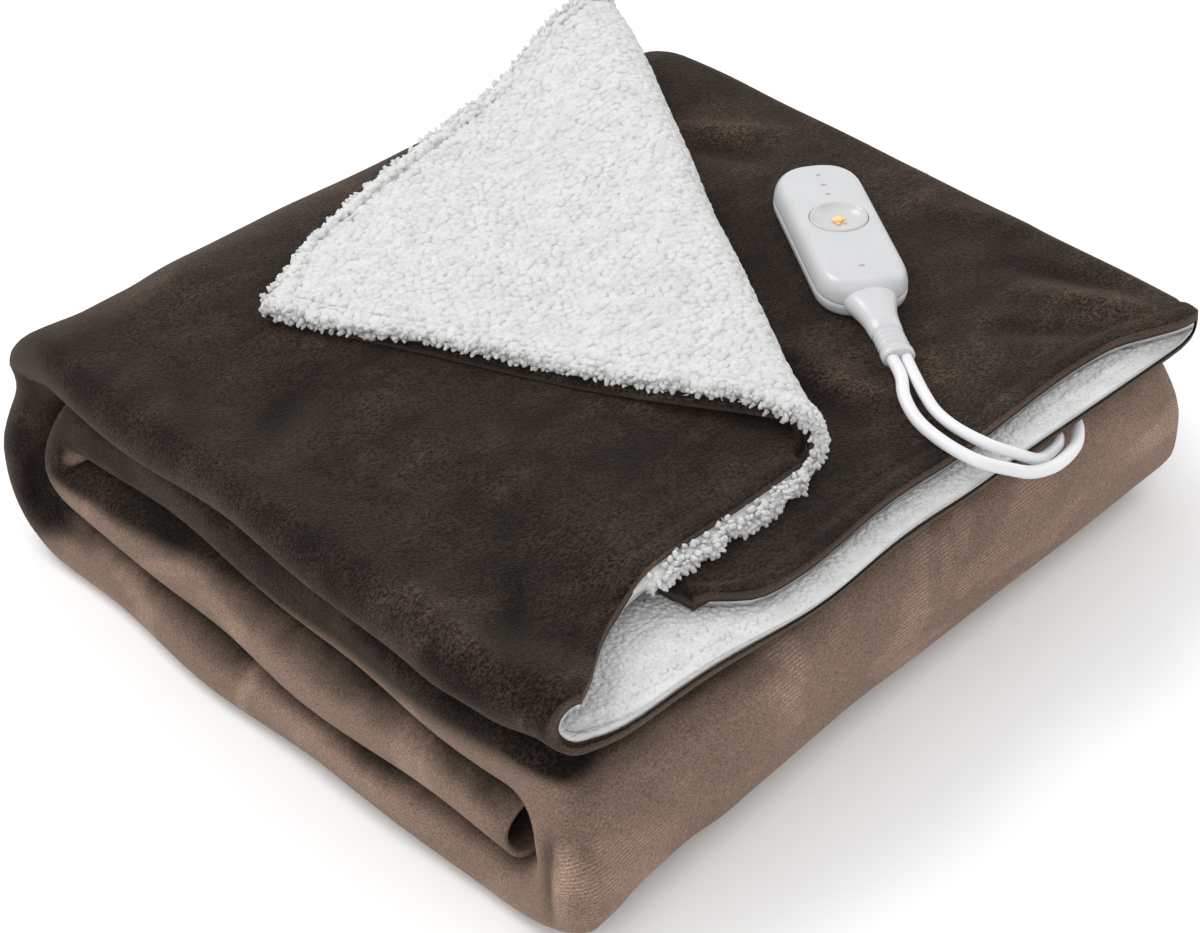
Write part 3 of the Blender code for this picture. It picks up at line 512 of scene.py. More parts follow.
class Cloth:
    """The folded throw as a grid: its plush face, the way in, and its place on the flat cloth."""

    def __init__(self):
        self.columns = cloth_columns()
        self.rows = cloth_rows()
        self.fold_column = PANELS[0][1] + PANELS[1][1]
        self.flat, self.face, self.inward = {}, {}, {}
        for c, column in enumerate(self.columns):
            for r, row in enumerate(self.rows):
                if row[1] is None and c < self.fold_column:
                    continue
                # the fold's last column belongs to the top layer
                place = ("top", 0.0) if c == self.fold_column else column
                self.flat[c, r] = flat_place(place, row)
                outer = cloth_point(place, row, 0.0)
                self.face[c, r] = outer
                self.inward[c, r] = (cloth_point(place, row, PLY) - outer) / PLY
        self.edges = edge_distances(self.flat, self.fold_column)
        self.form = {key: cloth_form(self.panel(key), place, self.edges[key]) for key, place in self.face.items()}

    def panel(self, key):
        return self.columns[key[0]][0]

    def end_in(self, column, row):
        """How far the sherpa's inner end lies further in at its left bend, where the lip is open."""
        away = abs(column - END_COLUMN) - END_COLUMNS
        last_rows = smooth((row - len(self.rows) + 1 + END_ROWS) / END_ROWS)
        return END_IN * (1 - smooth(away / END_COLUMNS)) * last_rows

    def set_back(self, key):
        """Moves the sherpa in from the turned corner's front hem, where the plush shows past it."""
        column = key[0]
        if column >= PANELS[0][1]:
            return Vector()
        share = column / PANELS[0][1]
        (start, start_fade), (end, end_fade) = SET_BACK_START, SET_BACK_END
        amount = SET_BACK * smooth((share - start) / start_fade) * (1 - smooth((share - end) / end_fade))
        near = max(0.0, 1 - (self.flat[key] - self.flat[column, 0]).length / SET_BACK_REACH)
        return (self.face[column, 3] - self.face[column, 0]).normalized() * amount * near

    def outward(self, key):
        """The way out of the cloth at its cut edge, in its own plane."""
        column, row = key
        row_in = 1 if row == 0 else min(row, FLAP_ROWS - 1) if column < self.fold_column else row
        inner = (max(column, 1), row_in)
        return (self.face[key] - self.face[inner]).normalized()

    def point(self, key, depth):
        return self.face[key] + self.inward[key] * (depth - self.form[key])


# ================================================================ the cloth's two panels
FULL_RELIEF = 0.0020  # a crease this deep has the full painted shade, a ridge this high the full painted highlight
HEM_WRAP = 0.0012  # how far the sherpa ends behind the plush that wraps its edge
HEM_COVER = 0.38  # how much of the sherpa's thickness the plush covers there
HEM_TONE = 0.5  # how much of the hem's width is whole in the attribute hem
END_WRAP = 0.003  # how far the sherpa ends before the inner end, which the plush covers whole
LIP_EDGE = (0.003, 0.004)  # where the bottom layer's nubs set in behind its front edge, and over how much
LIP_REACH = (0.040, 0.010)  # how far in they show at the front, and over how much they fade
NUB_REACH = (0.020, 0.010)  # the same for the top layer's nubs
SHERPA_OUT = (0.0012, 0.0070)  # how far it stands out past the plush: on the corner, on the top layer
SCALLOP_SCALE = 90.0
SCALLOP = 1.1  # how unevenly it does
SHAGGY_FROM = 0.075  # along the top layer's front edge
SHAGGY_FADE = 0.030
FLAT_SCALE = 1.6  # metres of flat cloth across the whole of its UV map
FLAT_SHIFT = 0.65  # brings the flat cloth inside it
AT_EDGE = 1e-6
KEY = 1000  # packs a vertex's column and row into one number


def nub_share(cloth, key):
    """How thick the sherpa's nubs lie: 1 on the turned corner, 0 in the folds."""
    if cloth.panel(key) in ("corner", "fold"):
        return 1.0
    if cloth.panel(key) != "top":
        return 0.0
    return (1 - smooth((cloth.edges[key] - NUB_REACH[0]) / NUB_REACH[1])) * shaggy_share(cloth, key)


def lip_share(cloth, key):
    """How thick they lie on the layer below, where it shows at the open front."""
    if cloth.panel(key) not in ("bottom", "left_bend"):
        return 0.0
    edge = cloth.edges[key]
    return smooth((edge - LIP_EDGE[0]) / LIP_EDGE[1]) * (1 - smooth((edge - LIP_REACH[0]) / LIP_REACH[1]))


def shaggy_share(cloth, key):
    """Where the sherpa's locks stand out past the cut edge: on the corner and the top layer beside it."""
    if cloth.panel(key) in ("corner", "fold"):
        return 1.0
    if cloth.panel(key) != "top":
        return 0.0
    return smooth((cloth.face[key].x + CENTRE.x - SHAGGY_FROM) / SHAGGY_FADE)


def as_mesh(shape, name):
    mesh = bpy.data.meshes.new(name)
    shape.to_mesh(mesh)
    shape.free()
    return mesh


def closed_mesh(shape, name):
    """A smooth mesh of a closed shape with its faces outward."""
    bmesh.ops.recalc_face_normals(shape, faces=shape.faces)
    if shape.calc_volume(signed=True) < 0:
        bmesh.ops.reverse_faces(shape, faces=shape.faces)
    mesh = as_mesh(shape, name)
    mesh.shade_smooth()
    return mesh


def settle_rim(sheet, raised, place):
    """Puts the extruded rim's faces in one order, which extruding doesn't, so that each run gives the same pile."""
    sheet.faces.index_update()
    rim = [face for face in sheet.faces if len({vertex in raised for vertex in face.verts}) == 2]
    rim.sort(key=lambda face: sorted(vertex[place] for vertex in face.verts))
    for number, face in enumerate(rim, len(sheet.faces)):
        face.index = number
    sheet.faces.sort(key=lambda face: face.index)


def panel_mesh(cloth, name, low_depth, high_depth, sherpa_out=None):
    """One closed panel of the throw between two depths, with its flat place as UV map.

    Only the sherpa has sherpa_out: how far its locks stand out past the plush.
    """
    last_column, last_row = len(cloth.columns) - 1, len(cloth.rows) - 1
    sheet = bmesh.new()
    bmesh.ops.create_grid(sheet, x_segments=last_column, y_segments=last_row, size=1.0)
    place = sheet.verts.layers.int.new("place")
    layers = [sheet.verts.layers.float.new(kind) for kind in ("nub", "lock", "lip", "hem", "relief")]
    for vertex in sheet.verts:
        column = round((vertex.co.x + 1) / 2 * last_column)
        row = round((vertex.co.y + 1) / 2 * last_row)
        vertex[place] = column * KEY + row
    beyond = [
        face for face in sheet.faces
        if max(v[place] // KEY for v in face.verts) <= cloth.fold_column
        and max(v[place] % KEY for v in face.verts) > FLAP_ROWS
    ]
    bmesh.ops.delete(sheet, geom=beyond, context="FACES")
    made = bmesh.ops.extrude_face_region(sheet, geom=list(sheet.faces), use_keep_orig=True)
    raised = {item for item in made["geom"] if isinstance(item, bmesh.types.BMVert)}
    settle_rim(sheet, raised, place)
    for vertex in sheet.verts:
        key = divmod(vertex[place], KEY)
        outer = vertex in raised
        edge = cloth.edges[key]
        shaggy = shaggy_share(cloth, key) if edge < AT_EDGE else 0.0
        bound = edge < AT_EDGE and key[1] == 0
        at_end = key[0] == last_column
        if sherpa_out:
            depth = low_depth if outer else high_depth
            vertex.co = sherpa_spot(cloth, key, depth, bound, at_end, shaggy, sherpa_out)
        else:
            wrap = PLY if at_end else mix(high_depth, PLY, HEM_COVER * (1 - shaggy)) if bound else high_depth
            vertex.co = cloth.point(key, low_depth if outer else wrap)
        shares = (
            0.0 if outer else nub_share(cloth, key),
            1.0 if shaggy > 0.5 else 0.0,
            0.0 if outer else lip_share(cloth, key),
            1 - smooth((edge - HEM_TONE * HEM) / HEM),
            (cloth.form[key] - hem_form(edge)) / FULL_RELIEF,
        )
        for layer, share in zip(layers, shares):
            vertex[layer] = share
    uv = sheet.loops.layers.uv.new("flat_cloth")
    for face in sheet.faces:
        for loop in face.loops:
            spot = cloth.flat[divmod(loop.vert[place], KEY)]
            loop[uv].uv = (FLAT_SHIFT + spot.x / FLAT_SCALE, spot.y / FLAT_SCALE)
    return closed_mesh(sheet, name)


def sherpa_spot(cloth, key, depth, bound, at_end, shaggy, sherpa_out):
    """A vertex of the sherpa, set in where the plush wraps it and standing out where its locks are free."""
    spot = cloth.point(key, depth)
    if bound:
        spot -= cloth.outward(key) * HEM_WRAP * (1 - shaggy)
    if at_end:
        spot += (cloth.face[key[0] - 1, key[1]] - cloth.face[key]).normalized() * END_WRAP
    spot.y += cloth.end_in(*key)
    if shaggy > 0:
        scallop = 1.0 + SCALLOP * noise.noise(spot * SCALLOP_SCALE)
        spot += cloth.outward(key) * sherpa_out[cloth.panel(key) == "top"] * scallop * shaggy
    return spot + cloth.set_back(key)


# ================================================================ node helpers
def wire(tree, kind, settings=(), **inputs):
    """A new node. An input goes by its socket's name, with _ for a space, and is a value or another's socket."""
    node = tree.nodes.new(kind)
    for name, value in dict(settings).items():
        setattr(node, name, value)
    for name, value in inputs.items():
        feed(tree, node.inputs[name.replace("_", " ")], value)
    return node


def feed(tree, socket, value):
    if isinstance(value, bpy.types.NodeSocket):
        tree.links.new(value, socket)
    else:
        socket.default_value = value


def calculated(tree, operation, *values):
    """A maths node of sockets and numbers."""
    node = wire(tree, "ShaderNodeMath", {"operation": operation})
    for socket, value in zip(node.inputs, values):
        feed(tree, socket, value)
    return node.outputs["Value"]


def scaled(tree, vector, factor):
    node = wire(tree, "ShaderNodeVectorMath", {"operation": "SCALE"}, Vector=vector, Scale=factor)
    return node.outputs["Vector"]


def combined(tree, operation, vector, constant):
    """A vector changed by a constant one."""
    node = wire(tree, "ShaderNodeVectorMath", {"operation": operation}, Vector=vector)
    node.inputs[1].default_value = constant
    return node.outputs["Vector"]


def ranged(tree, value, low, high, to_low, to_high, soft=False):
    """A value moved from one range to another and held in it."""
    kind = {"interpolation_type": "SMOOTHSTEP" if soft else "LINEAR"}
    sizes = {"From_Min": low, "From_Max": high, "To_Min": to_low, "To_Max": to_high}
    return wire(tree, "ShaderNodeMapRange", kind, Value=value, **sizes).outputs["Result"]


def colour_ramp(tree, factor, low, high, stops):
    """Colour ramp between two shares of its factor."""
    ramp = wire(tree, "ShaderNodeValToRGB", Fac=factor)
    for element, place, colour in zip(ramp.color_ramp.elements, stops, (low, high)):
        element.position = place
        element.color = (*colour, 1.0)
    return ramp.outputs["Color"]


def new_group(name, scales, outputs):
    """A shader node group with named scales and outputs, and its first and last node."""
    group = bpy.data.node_groups.new(name, "ShaderNodeTree")
    for socket, value in scales.items():
        made = group.interface.new_socket(socket, in_out="INPUT", socket_type="NodeSocketFloat")
        made.default_value = value
    for socket in outputs:
        group.interface.new_socket(socket, in_out="OUTPUT", socket_type="NodeSocketFloat")
    return group, group.nodes.new("NodeGroupInput"), group.nodes.new("NodeGroupOutput")


def add_noises(group, given, result, vector, noises):
    """Noise textures of a group: the output of each, the name of its scale, and its settings."""
    for output, scale, settings in noises:
        texture = wire(group, "ShaderNodeTexNoise", Vector=vector, Scale=given.outputs[scale], **settings)
        feed(group, result.inputs[output], texture.outputs["Fac"])


PILE_STRETCH = (0.6, 1.0, 1.0)  # the pile's strokes are longer along x


def pile_group():
    """Fine upright pile: a height for bump, a soft mottle, broad brushed patches and knitted ribs."""
    scales = {"Fibre Scale": 900.0, "Patch Scale": 30.0, "Brush Scale": 12.0, "Rib Scale": 420.0}
    group, given, result = new_group("pile", scales, ("Height", "Mottle", "Brush", "Rib"))
    place = wire(group, "ShaderNodeTexCoord")
    drawn = combined(group, "MULTIPLY", place.outputs["Object"], PILE_STRETCH)
    add_noises(group, given, result, drawn, (
        ("Height", "Fibre Scale", {"Detail": 3.0, "Roughness": 0.6}),
        ("Mottle", "Patch Scale", {"Detail": 4.0, "Roughness": 0.55, "Distortion": 0.4}),
        ("Brush", "Brush Scale", {"Detail": 3.0, "Roughness": 0.6, "Distortion": 1.6}),
    ))
    rib = wire(
        group, "ShaderNodeTexWave", {"bands_direction": "Y"}, Vector=place.outputs["UV"],
        Scale=given.outputs["Rib Scale"], Distortion=2.2, Detail=2.0, Detail_Scale=0.4,
    )
    feed(group, result.inputs["Rib"], rib.outputs["Fac"])
    return group


def moulded_group():
    """Moulded surface: a faint grain for bump and the slight unevenness of its gloss."""
    group, given, result = new_group("moulded", {"Grain Scale": 1500.0, "Gloss Scale": 40.0}, ("Height", "Cloud"))
    place = wire(group, "ShaderNodeTexCoord").outputs["Object"]
    even = {"Detail": 2.0}
    add_noises(group, given, result, place, (("Height", "Grain Scale", even), ("Cloud", "Gloss Scale", even)))
    return group


# ================================================================ materials
def new_material(name, **inputs):
    """A material, its tree and its shader, with the shader's sockets set by name."""
    material = bpy.data.materials.new(name)
    material.use_nodes = True
    shader = material.node_tree.nodes["Principled BSDF"]
    for socket, value in inputs.items():
        shader.inputs[socket.replace("_", " ")].default_value = value
    return material, material.node_tree, shader


def finish_shader(tree, shader, colour, height, distance):
    """Links the base colour, and a height in metres as bump."""
    feed(tree, shader.inputs["Base Color"], colour)
    bumped = wire(tree, "ShaderNodeBump", Distance=distance, Height=height)
    feed(tree, shader.inputs["Normal"], bumped.outputs["Normal"])


PLUSH_DARK = (0.0080, 0.0056, 0.0043)
PLUSH_DEEP = (0.0240, 0.0161, 0.0117)
# colour of the painted sheen and bounce light on the plush's front and low faces
PLUSH_SHEEN_PAINT = (0.205, 0.140, 0.108)
PLUSH_BUMP = 0.0006
# ranges of the tone's factors: the value's lowest and highest, then what they become
GRAIN = (0.40, 0.60, 0.25, 1.80)
CLOUD = (0.38, 0.62, 0.80, 1.22)
SPECKLE = (0.32, 0.68, 0.55, 1.45)
# painted shade in creases and painted highlight on ridges, from the relief
CREASE_SHADE_AND_HIGHLIGHT = (-1.0, 1.0, 0.50, 1.7)
RIBS = (0.50, 0.62, 0.0, 0.55)
RIB_LOW = 0.85
BRUSH_SHARE = 0.6  # of the broad patches in the nap's unevenness
SHEEN_AHEAD = (-0.25, -0.80)  # y of the normal where the front gets painted sheen and bounce light
SHEEN_HEIGHT = (0.0675, 0.0550)  # below it the left ridges get it too
SHEEN_SLOPE = 0.090  # and lower towards the back
SHEEN_END = (0.130, 0.160)  # along y, where they turn dark again
SHEEN_END_SHARE = 0.15
SHEEN_UNEVEN = -0.35
SHEEN_PALE = -0.58
SHEEN_TURN = (0.30, -0.36)  # how far up a face looks where the painted sheen goes from none to full
HEM_SHEEN = 0.25  # how much of the painted sheen the hem beside it keeps
SHADE_HEIGHT = (0.105, 0.090)  # below it the back of the left end lies in the shade of its tucks
SHADE_START = (0.140, 0.170)
SHADE = -0.40
SHERPA_SHADE = (0.56, 0.56, 0.555)
SHERPA_WHITE = (0.635, 0.635, 0.63)
SHERPA_BUMP = 0.0012


def plush_material(pile):
    """Dark brown plush with light painted into its colour: painted sheen and bounce light make faces that look to
    the front, and the low left ridges, paler than the dark tops; creases get painted shade, ridges painted
    highlight, and the back of the left end painted shade.
    """
    material, tree, shader = new_material(
        "plush_with_painted_sheen", Roughness=0.92, Specular_IOR_Level=0.12,
        Sheen_Weight=0.20, Sheen_Roughness=0.40, Sheen_Tint=(0.80, 0.62, 0.48, 1.0),
    )

    def factor(value, sizes, soft=False):
        return ranged(tree, value, *sizes, soft=soft)

    def product(*values):
        total = values[0]
        for value in values[1:]:
            total = calculated(tree, "MULTIPLY", total, value)
        return total

    def attribute(name):
        return wire(tree, "ShaderNodeAttribute", {"attribute_name": name}).outputs["Fac"]

    def parts(kind, output):
        return wire(tree, "ShaderNodeSeparateXYZ", Vector=wire(tree, kind).outputs[output]).outputs

    pile_of = {"node_tree": pile}
    fine = wire(tree, "ShaderNodeGroup", pile_of, Fibre_Scale=1500.0, Patch_Scale=48.0, Brush_Scale=10.0).outputs
    coarse = wire(tree, "ShaderNodeGroup", pile_of, Fibre_Scale=850.0, Patch_Scale=150.0, Brush_Scale=32.0).outputs
    brushed = calculated(tree, "MULTIPLY_ADD", fine["Brush"], BRUSH_SHARE, fine["Mottle"])
    even = colour_ramp(tree, brushed, PLUSH_DARK, PLUSH_DEEP, (0.62, 1.0))
    dark = scaled(tree, even, product(factor(coarse["Height"], GRAIN), factor(coarse["Brush"], CLOUD)))

    facing, place = parts("ShaderNodeNewGeometry", "Normal"), parts("ShaderNodeTexCoord", "Object")
    # painted sheen and bounce light: paler where the face looks to the front or lies low at the left, less on the
    # hems
    ahead = factor(facing["Y"], (*SHEEN_AHEAD, 0.0, 1.0), soft=True)
    slanted = calculated(tree, "MULTIPLY_ADD", place["Y"], SHEEN_SLOPE, place["Z"])
    low = factor(slanted, (*SHEEN_HEIGHT, 0.0, 1.0), soft=True)
    before_end = factor(place["Y"], (*SHEEN_END, 1.0, SHEEN_END_SHARE), soft=True)
    sheen_side = product(calculated(tree, "MAXIMUM", ahead, low), before_end)
    uneven = calculated(tree, "MULTIPLY_ADD", brushed, SHEEN_UNEVEN, facing["Z"])
    sheen_level = calculated(tree, "MULTIPLY_ADD", sheen_side, SHEEN_PALE, uneven)
    # turned is how much painted sheen a face gets
    turned = factor(sheen_level, (*SHEEN_TURN, 0.0, 1.0), soft=True)
    hem_sheen_share = factor(attribute("hem"), (0.0, 1.0, 1.0, HEM_SHEEN))
    painted_sheen = product(turned, product(sheen_side, hem_sheen_share))
    colour = wire(tree, "ShaderNodeMix", {"data_type": "RGBA"}, Factor=painted_sheen, A=dark, B=(*PLUSH_SHEEN_PAINT, 1.0))

    speckle = factor(fine["Height"], SPECKLE)
    ribs = calculated(tree, "MULTIPLY_ADD", fine["Rib"], factor(fine["Brush"], RIBS, soft=True), RIB_LOW)
    # raised is painted shade in creases and painted highlight on ridges
    raised = factor(attribute("relief"), CREASE_SHADE_AND_HIGHLIGHT)
    side = factor(place["Z"], (*SHADE_HEIGHT, 0.0, SHADE), soft=True)
    at_end = factor(place["Y"], (*SHADE_START, 0.0, 1.0), soft=True)
    lit = calculated(tree, "MULTIPLY_ADD", side, at_end, 1.0)
    shaded = scaled(tree, colour.outputs["Result"], product(speckle, ribs, raised, lit))
    finish_shader(tree, shader, shaded, fine["Height"], PLUSH_BUMP)
    return material


def sherpa_material(pile):
    material, tree, shader = new_material(
        "sherpa_fleece", Roughness=0.95, Specular_IOR_Level=0.1, Sheen_Weight=0.15, Sheen_Roughness=0.5,
    )
    fine = wire(tree, "ShaderNodeGroup", {"node_tree": pile}, Fibre_Scale=620.0, Patch_Scale=150.0).outputs
    colour = colour_ramp(tree, fine["Mottle"], SHERPA_SHADE, SHERPA_WHITE, (0.35, 0.6))
    finish_shader(tree, shader, colour, fine["Height"], SHERPA_BUMP)
    return material


MOULDED_SHADE = 0.965  # of the colour, where the surface is darkest


def moulded_material(name, moulded, colour, low, high, depth, **more):
    """Moulded plastic or cord sheath: its colour, lowest and highest roughness and depth of its grain."""
    material, tree, shader = new_material(name, Roughness=low, **more)
    grain = wire(tree, "ShaderNodeGroup", {"node_tree": moulded}, Grain_Scale=1500.0, Gloss_Scale=45.0).outputs
    tint = colour_ramp(tree, grain["Cloud"], [MOULDED_SHADE * part for part in colour], colour, (0.35, 0.65))
    feed(tree, shader.inputs["Roughness"], ranged(tree, grain["Cloud"], 0.0, 1.0, low, high))
    finish_shader(tree, shader, tint, grain["Height"], depth)
    return material


def make_finishes():
    """Material and slot of each finish."""
    pile, moulded = pile_group(), moulded_group()
    shell = moulded_material("gloss_shell", moulded, (0.535, 0.54, 0.55), 0.20, 0.30, 0.00002)
    sheath = moulded_material("cord_sheath", moulded, (0.72, 0.72, 0.74), 0.32, 0.45, 0.00003)
    printed = moulded_material("printed_grey", moulded, (0.34, 0.34, 0.36), 0.45, 0.55, 0.00001)
    lens = moulded_material(
        "amber_lens", moulded, (0.90, 0.52, 0.22), 0.2, 0.3, 0.00001,
        Emission_Color=(1.0, 0.52, 0.18, 1.0), Emission_Strength=0.12,
    )
    pins = moulded_material("plated_pins", moulded, (0.75, 0.72, 0.66), 0.18, 0.32, 0.00001, Metallic=1.0)
    return {
        "plush": (plush_material(pile), "brown_plush"),
        "sherpa": (sherpa_material(pile), "white_sherpa"),
        "plastic": (shell, "white_plastic"),
        "cord": (sheath, "white_cord"),
        "print": (printed, "white_plastic"),
        "amber": (lens, "amber_light"),
        "metal": (pins, "plated_metal"),
    }


def add_piece(name, data, finish, *nodes):
    """A piece on the root with its finish, in place of the model's nodes that are named."""
    material, slot = finish
    piece = bpy.data.objects.new(name, data)
    data.materials.clear()
    data.materials.append(material)
    bpy.context.scene.collection.objects.link(piece)
    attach(piece, "root")
    if nodes:
        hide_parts(*nodes)
    return piece


# ================================================================ sherpa pile
# gap is the least distance between pieces of pile and density the most of them a square metre
NUB = {"gap": 0.0030, "density": 300000.0, "size": 0.0035, "flat": 0.52, "sunk": 0.0006}
LIP_NUB = {"gap": 0.0020, "density": 420000.0, "size": 0.0023, "flat": 0.50, "sunk": 0.0007}
LOCK = {"gap": 0.0017, "density": 500000.0, "size": 0.0018, "length": 0.0030}
LOCK_TIP = 0.40  # of its radius
LOCK_STRAY = 0.0016
PILE_STRAY = 0.0008  # how far its points stray from even shapes
PILE_STRAY_SCALE = 380.0
PILE_SEED = 7
PILE_SIZES = ((0.75, 0.75, 0.75), (1.30, 1.30, 1.20))
# piece, attribute, amounts, seed, tilt and stray
PILES = (
    ("sherpa_nubs", "nub", NUB, 3, 0.16, PILE_STRAY),
    ("sherpa_lip_nubs", "lip", LIP_NUB, 3, 0.3, PILE_STRAY),
    ("sherpa_locks", "lock", LOCK, 5, 0.55, LOCK_STRAY),
)


def by_chance(tree, low, high, seed):
    """A vector drawn for each point between two others."""
    settings = {"data_type": "FLOAT_VECTOR"}
    return wire(tree, "FunctionNodeRandomValue", settings, Min=low, Max=high, Seed=seed).outputs["Value"]


def scattered(tree, given, attribute, amounts, seed, tilt, shape):
    """Copies of a small shape over the faces where an attribute is set, each turned by chance."""
    shown = wire(tree, "GeometryNodeInputNamedAttribute", {"data_type": "FLOAT"}, Name=attribute)
    spread = wire(
        tree, "GeometryNodeDistributePointsOnFaces", {"distribute_method": "POISSON"}, Mesh=given["Geometry"],
        Seed=given["Seed"], Distance_Min=amounts["gap"], Density_Max=amounts["density"],
        Density_Factor=shown.outputs["Attribute"],
    ).outputs
    turn = by_chance(tree, (-tilt, -tilt, 0.0), (tilt, tilt, 2 * math.pi), seed)
    turn = wire(tree, "FunctionNodeEulerToRotation", Euler=turn).outputs["Rotation"]
    stand = wire(
        tree, "FunctionNodeRotateRotation", {"rotation_space": "LOCAL"},
        Rotation=spread["Rotation"], Rotate_By=turn,
    ).outputs["Rotation"]
    place = wire(
        tree, "GeometryNodeInstanceOnPoints", Points=spread["Points"], Instance=shape, Rotation=stand,
        Scale=by_chance(tree, *PILE_SIZES, seed + 1),
    )
    return place.outputs["Instances"]


def pile_shape(tree, amounts):
    """One pointed lock, or one soft nub where it has no length."""
    size = amounts["size"]
    if "length" in amounts:
        return wire(
            tree, "GeometryNodeMeshCone", Vertices=5, Side_Segments=2, Depth=amounts["length"],
            Radius_Top=LOCK_TIP * size, Radius_Bottom=size,
        ).outputs["Mesh"]
    ball = wire(tree, "GeometryNodeMeshUVSphere", Segments=7, Rings=4, Radius=size).outputs["Mesh"]
    flat, low = (1.0, 1.0, amounts["flat"]), (0.0, 0.0, -amounts["sunk"])
    return wire(tree, "GeometryNodeTransform", Geometry=ball, Scale=flat, Translation=low).outputs["Geometry"]


def pile_tree(material, attribute, amounts, seed, tilt):
    """Pile over the sherpa where an attribute is set."""
    tree = bpy.data.node_groups.new("sherpa_" + attribute, "GeometryNodeTree")
    face = tree.interface
    face.new_socket("Geometry", in_out="INPUT", socket_type="NodeSocketGeometry")
    for name, kind, value in (
        ("Stray", "NodeSocketFloat", PILE_STRAY),
        ("Stray Scale", "NodeSocketFloat", PILE_STRAY_SCALE),
        ("Seed", "NodeSocketInt", PILE_SEED),
    ):
        face.new_socket(name, in_out="INPUT", socket_type=kind).default_value = value
    face.new_socket("Geometry", in_out="OUTPUT", socket_type="NodeSocketGeometry")
    given = wire(tree, "NodeGroupInput").outputs

    shape = pile_shape(tree, amounts)
    copies = scattered(tree, given, attribute, amounts, seed, tilt, shape)
    real = wire(tree, "GeometryNodeRealizeInstances", Geometry=copies).outputs["Geometry"]
    position = wire(tree, "GeometryNodeInputPosition").outputs["Position"]
    chance = wire(tree, "ShaderNodeTexNoise", Vector=position, Scale=given["Stray Scale"]).outputs["Color"]
    stray = scaled(tree, combined(tree, "SUBTRACT", chance, (0.5, 0.5, 0.5)), given["Stray"])
    moved = wire(tree, "GeometryNodeSetPosition", Geometry=real, Offset=stray).outputs["Geometry"]
    soft = wire(tree, "GeometryNodeSetShadeSmooth", Geometry=moved).outputs["Geometry"]
    ready = wire(tree, "GeometryNodeSetMaterial", Geometry=soft, Material=material).outputs["Geometry"]
    wire(tree, "NodeGroupOutput", Geometry=ready)
    return tree


def from_nodes(name, source, tree, **values):
    """A plain mesh of what a Geometry Nodes tree makes of a mesh."""
    holder = bpy.data.objects.new(name + "_source", source)
    bpy.context.scene.collection.objects.link(holder)
    modifier = holder.modifiers.new("nodes", "NODES")
    modifier.node_group = tree
    sockets = {item.name: item.identifier for item in tree.interface.items_tree if item.in_out == "INPUT"}
    for socket, value in values.items():
        modifier[sockets[socket]] = value
    graph = bpy.context.evaluated_depsgraph_get()
    mesh = bpy.data.meshes.new_from_object(holder.evaluated_get(graph))
    mesh.name = name
    holder.modifiers.clear()
    bpy.data.objects.remove(holder)
    return mesh


def add_cloth(finishes):
    """The two panels of the throw and the sherpa's pile."""
    cloth = Cloth()
    plush_mesh = panel_mesh(cloth, "plush_cloth", 0.0, PLUSH)
    plush = add_piece("plush_cloth", plush_mesh, finishes["plush"], "plush_panel")
    sherpa_mesh = panel_mesh(cloth, "sherpa_cloth", PLUSH + SKIN_GAP, PLY, SHERPA_OUT)
    sherpa = add_piece("sherpa_cloth", sherpa_mesh, finishes["sherpa"], "sherpa_panel")
    for name, attribute, amounts, seed, tilt, stray in PILES:
        tree = pile_tree(finishes["sherpa"][0], attribute, amounts, seed, tilt)
        add_piece(name, from_nodes(name, sherpa_mesh, tree, Stray=stray), finishes["sherpa"])


# ================================================================ outlines and solids of rings
SHARP = math.radians(50)


def stadium(length, width, points, inset=0.0):
    """Plan outline with round ends, a little squarer than half circles."""
    radius = width / 2 - inset
    straight = (length - width) / 2
    outline = []
    for index in range(points):
        angle = 2 * math.pi * (index + 0.5) / points
        across = math.copysign(straight + radius * abs(math.cos(angle)) ** CONTROL_ROUND, math.cos(angle))
        side = math.copysign(radius * abs(math.sin(angle)) ** CONTROL_ROUND, math.sin(angle))
        outline.append(Vector((across, side)))
    return outline


def even_loop(outline):
    """The same closed outline with its points evenly spaced, from the same start."""
    closed = outline + outline[:1]
    lengths = [0.0]
    for one, two in zip(closed, closed[1:]):
        lengths.append(lengths[-1] + (two - one).length)
    spaced, position = [], 0
    for index in range(len(outline)):
        target = lengths[-1] * index / len(outline)
        while lengths[position + 1] < target:
            position += 1
        share = (target - lengths[position]) / (lengths[position + 1] - lengths[position])
        spaced.append(closed[position].lerp(closed[position + 1], share))
    return spaced


def ellipse(length, width, points):
    turns = [2 * math.pi * (index + 0.5) / points for index in range(points)]
    return [Vector((length / 2 * math.cos(turn), width / 2 * math.sin(turn))) for turn in turns]


def ring(outline, height):
    return [Vector((spot.x, spot.y, height)) for spot in outline]


def new_loops(shape, rings):
    return [[shape.verts.new(spot) for spot in ring] for ring in rings]


def skin(shape, loops):
    """Faces between each loop and the next."""
    for low, high in zip(loops, loops[1:]):
        for index in range(len(low)):
            after = (index + 1) % len(low)
            shape.faces.new((low[index], low[after], high[after], high[index]))


def ring_mesh(name, rings):
    """A closed solid through rings of points of one count, capped at both ends."""
    shape = bmesh.new()
    loops = new_loops(shape, rings)
    skin(shape, loops)
    shape.faces.new(loops[0][::-1])
    shape.faces.new(loops[-1])
    mesh = closed_mesh(shape, name)
    mesh.set_sharp_from_angle(angle=SHARP)
    return mesh


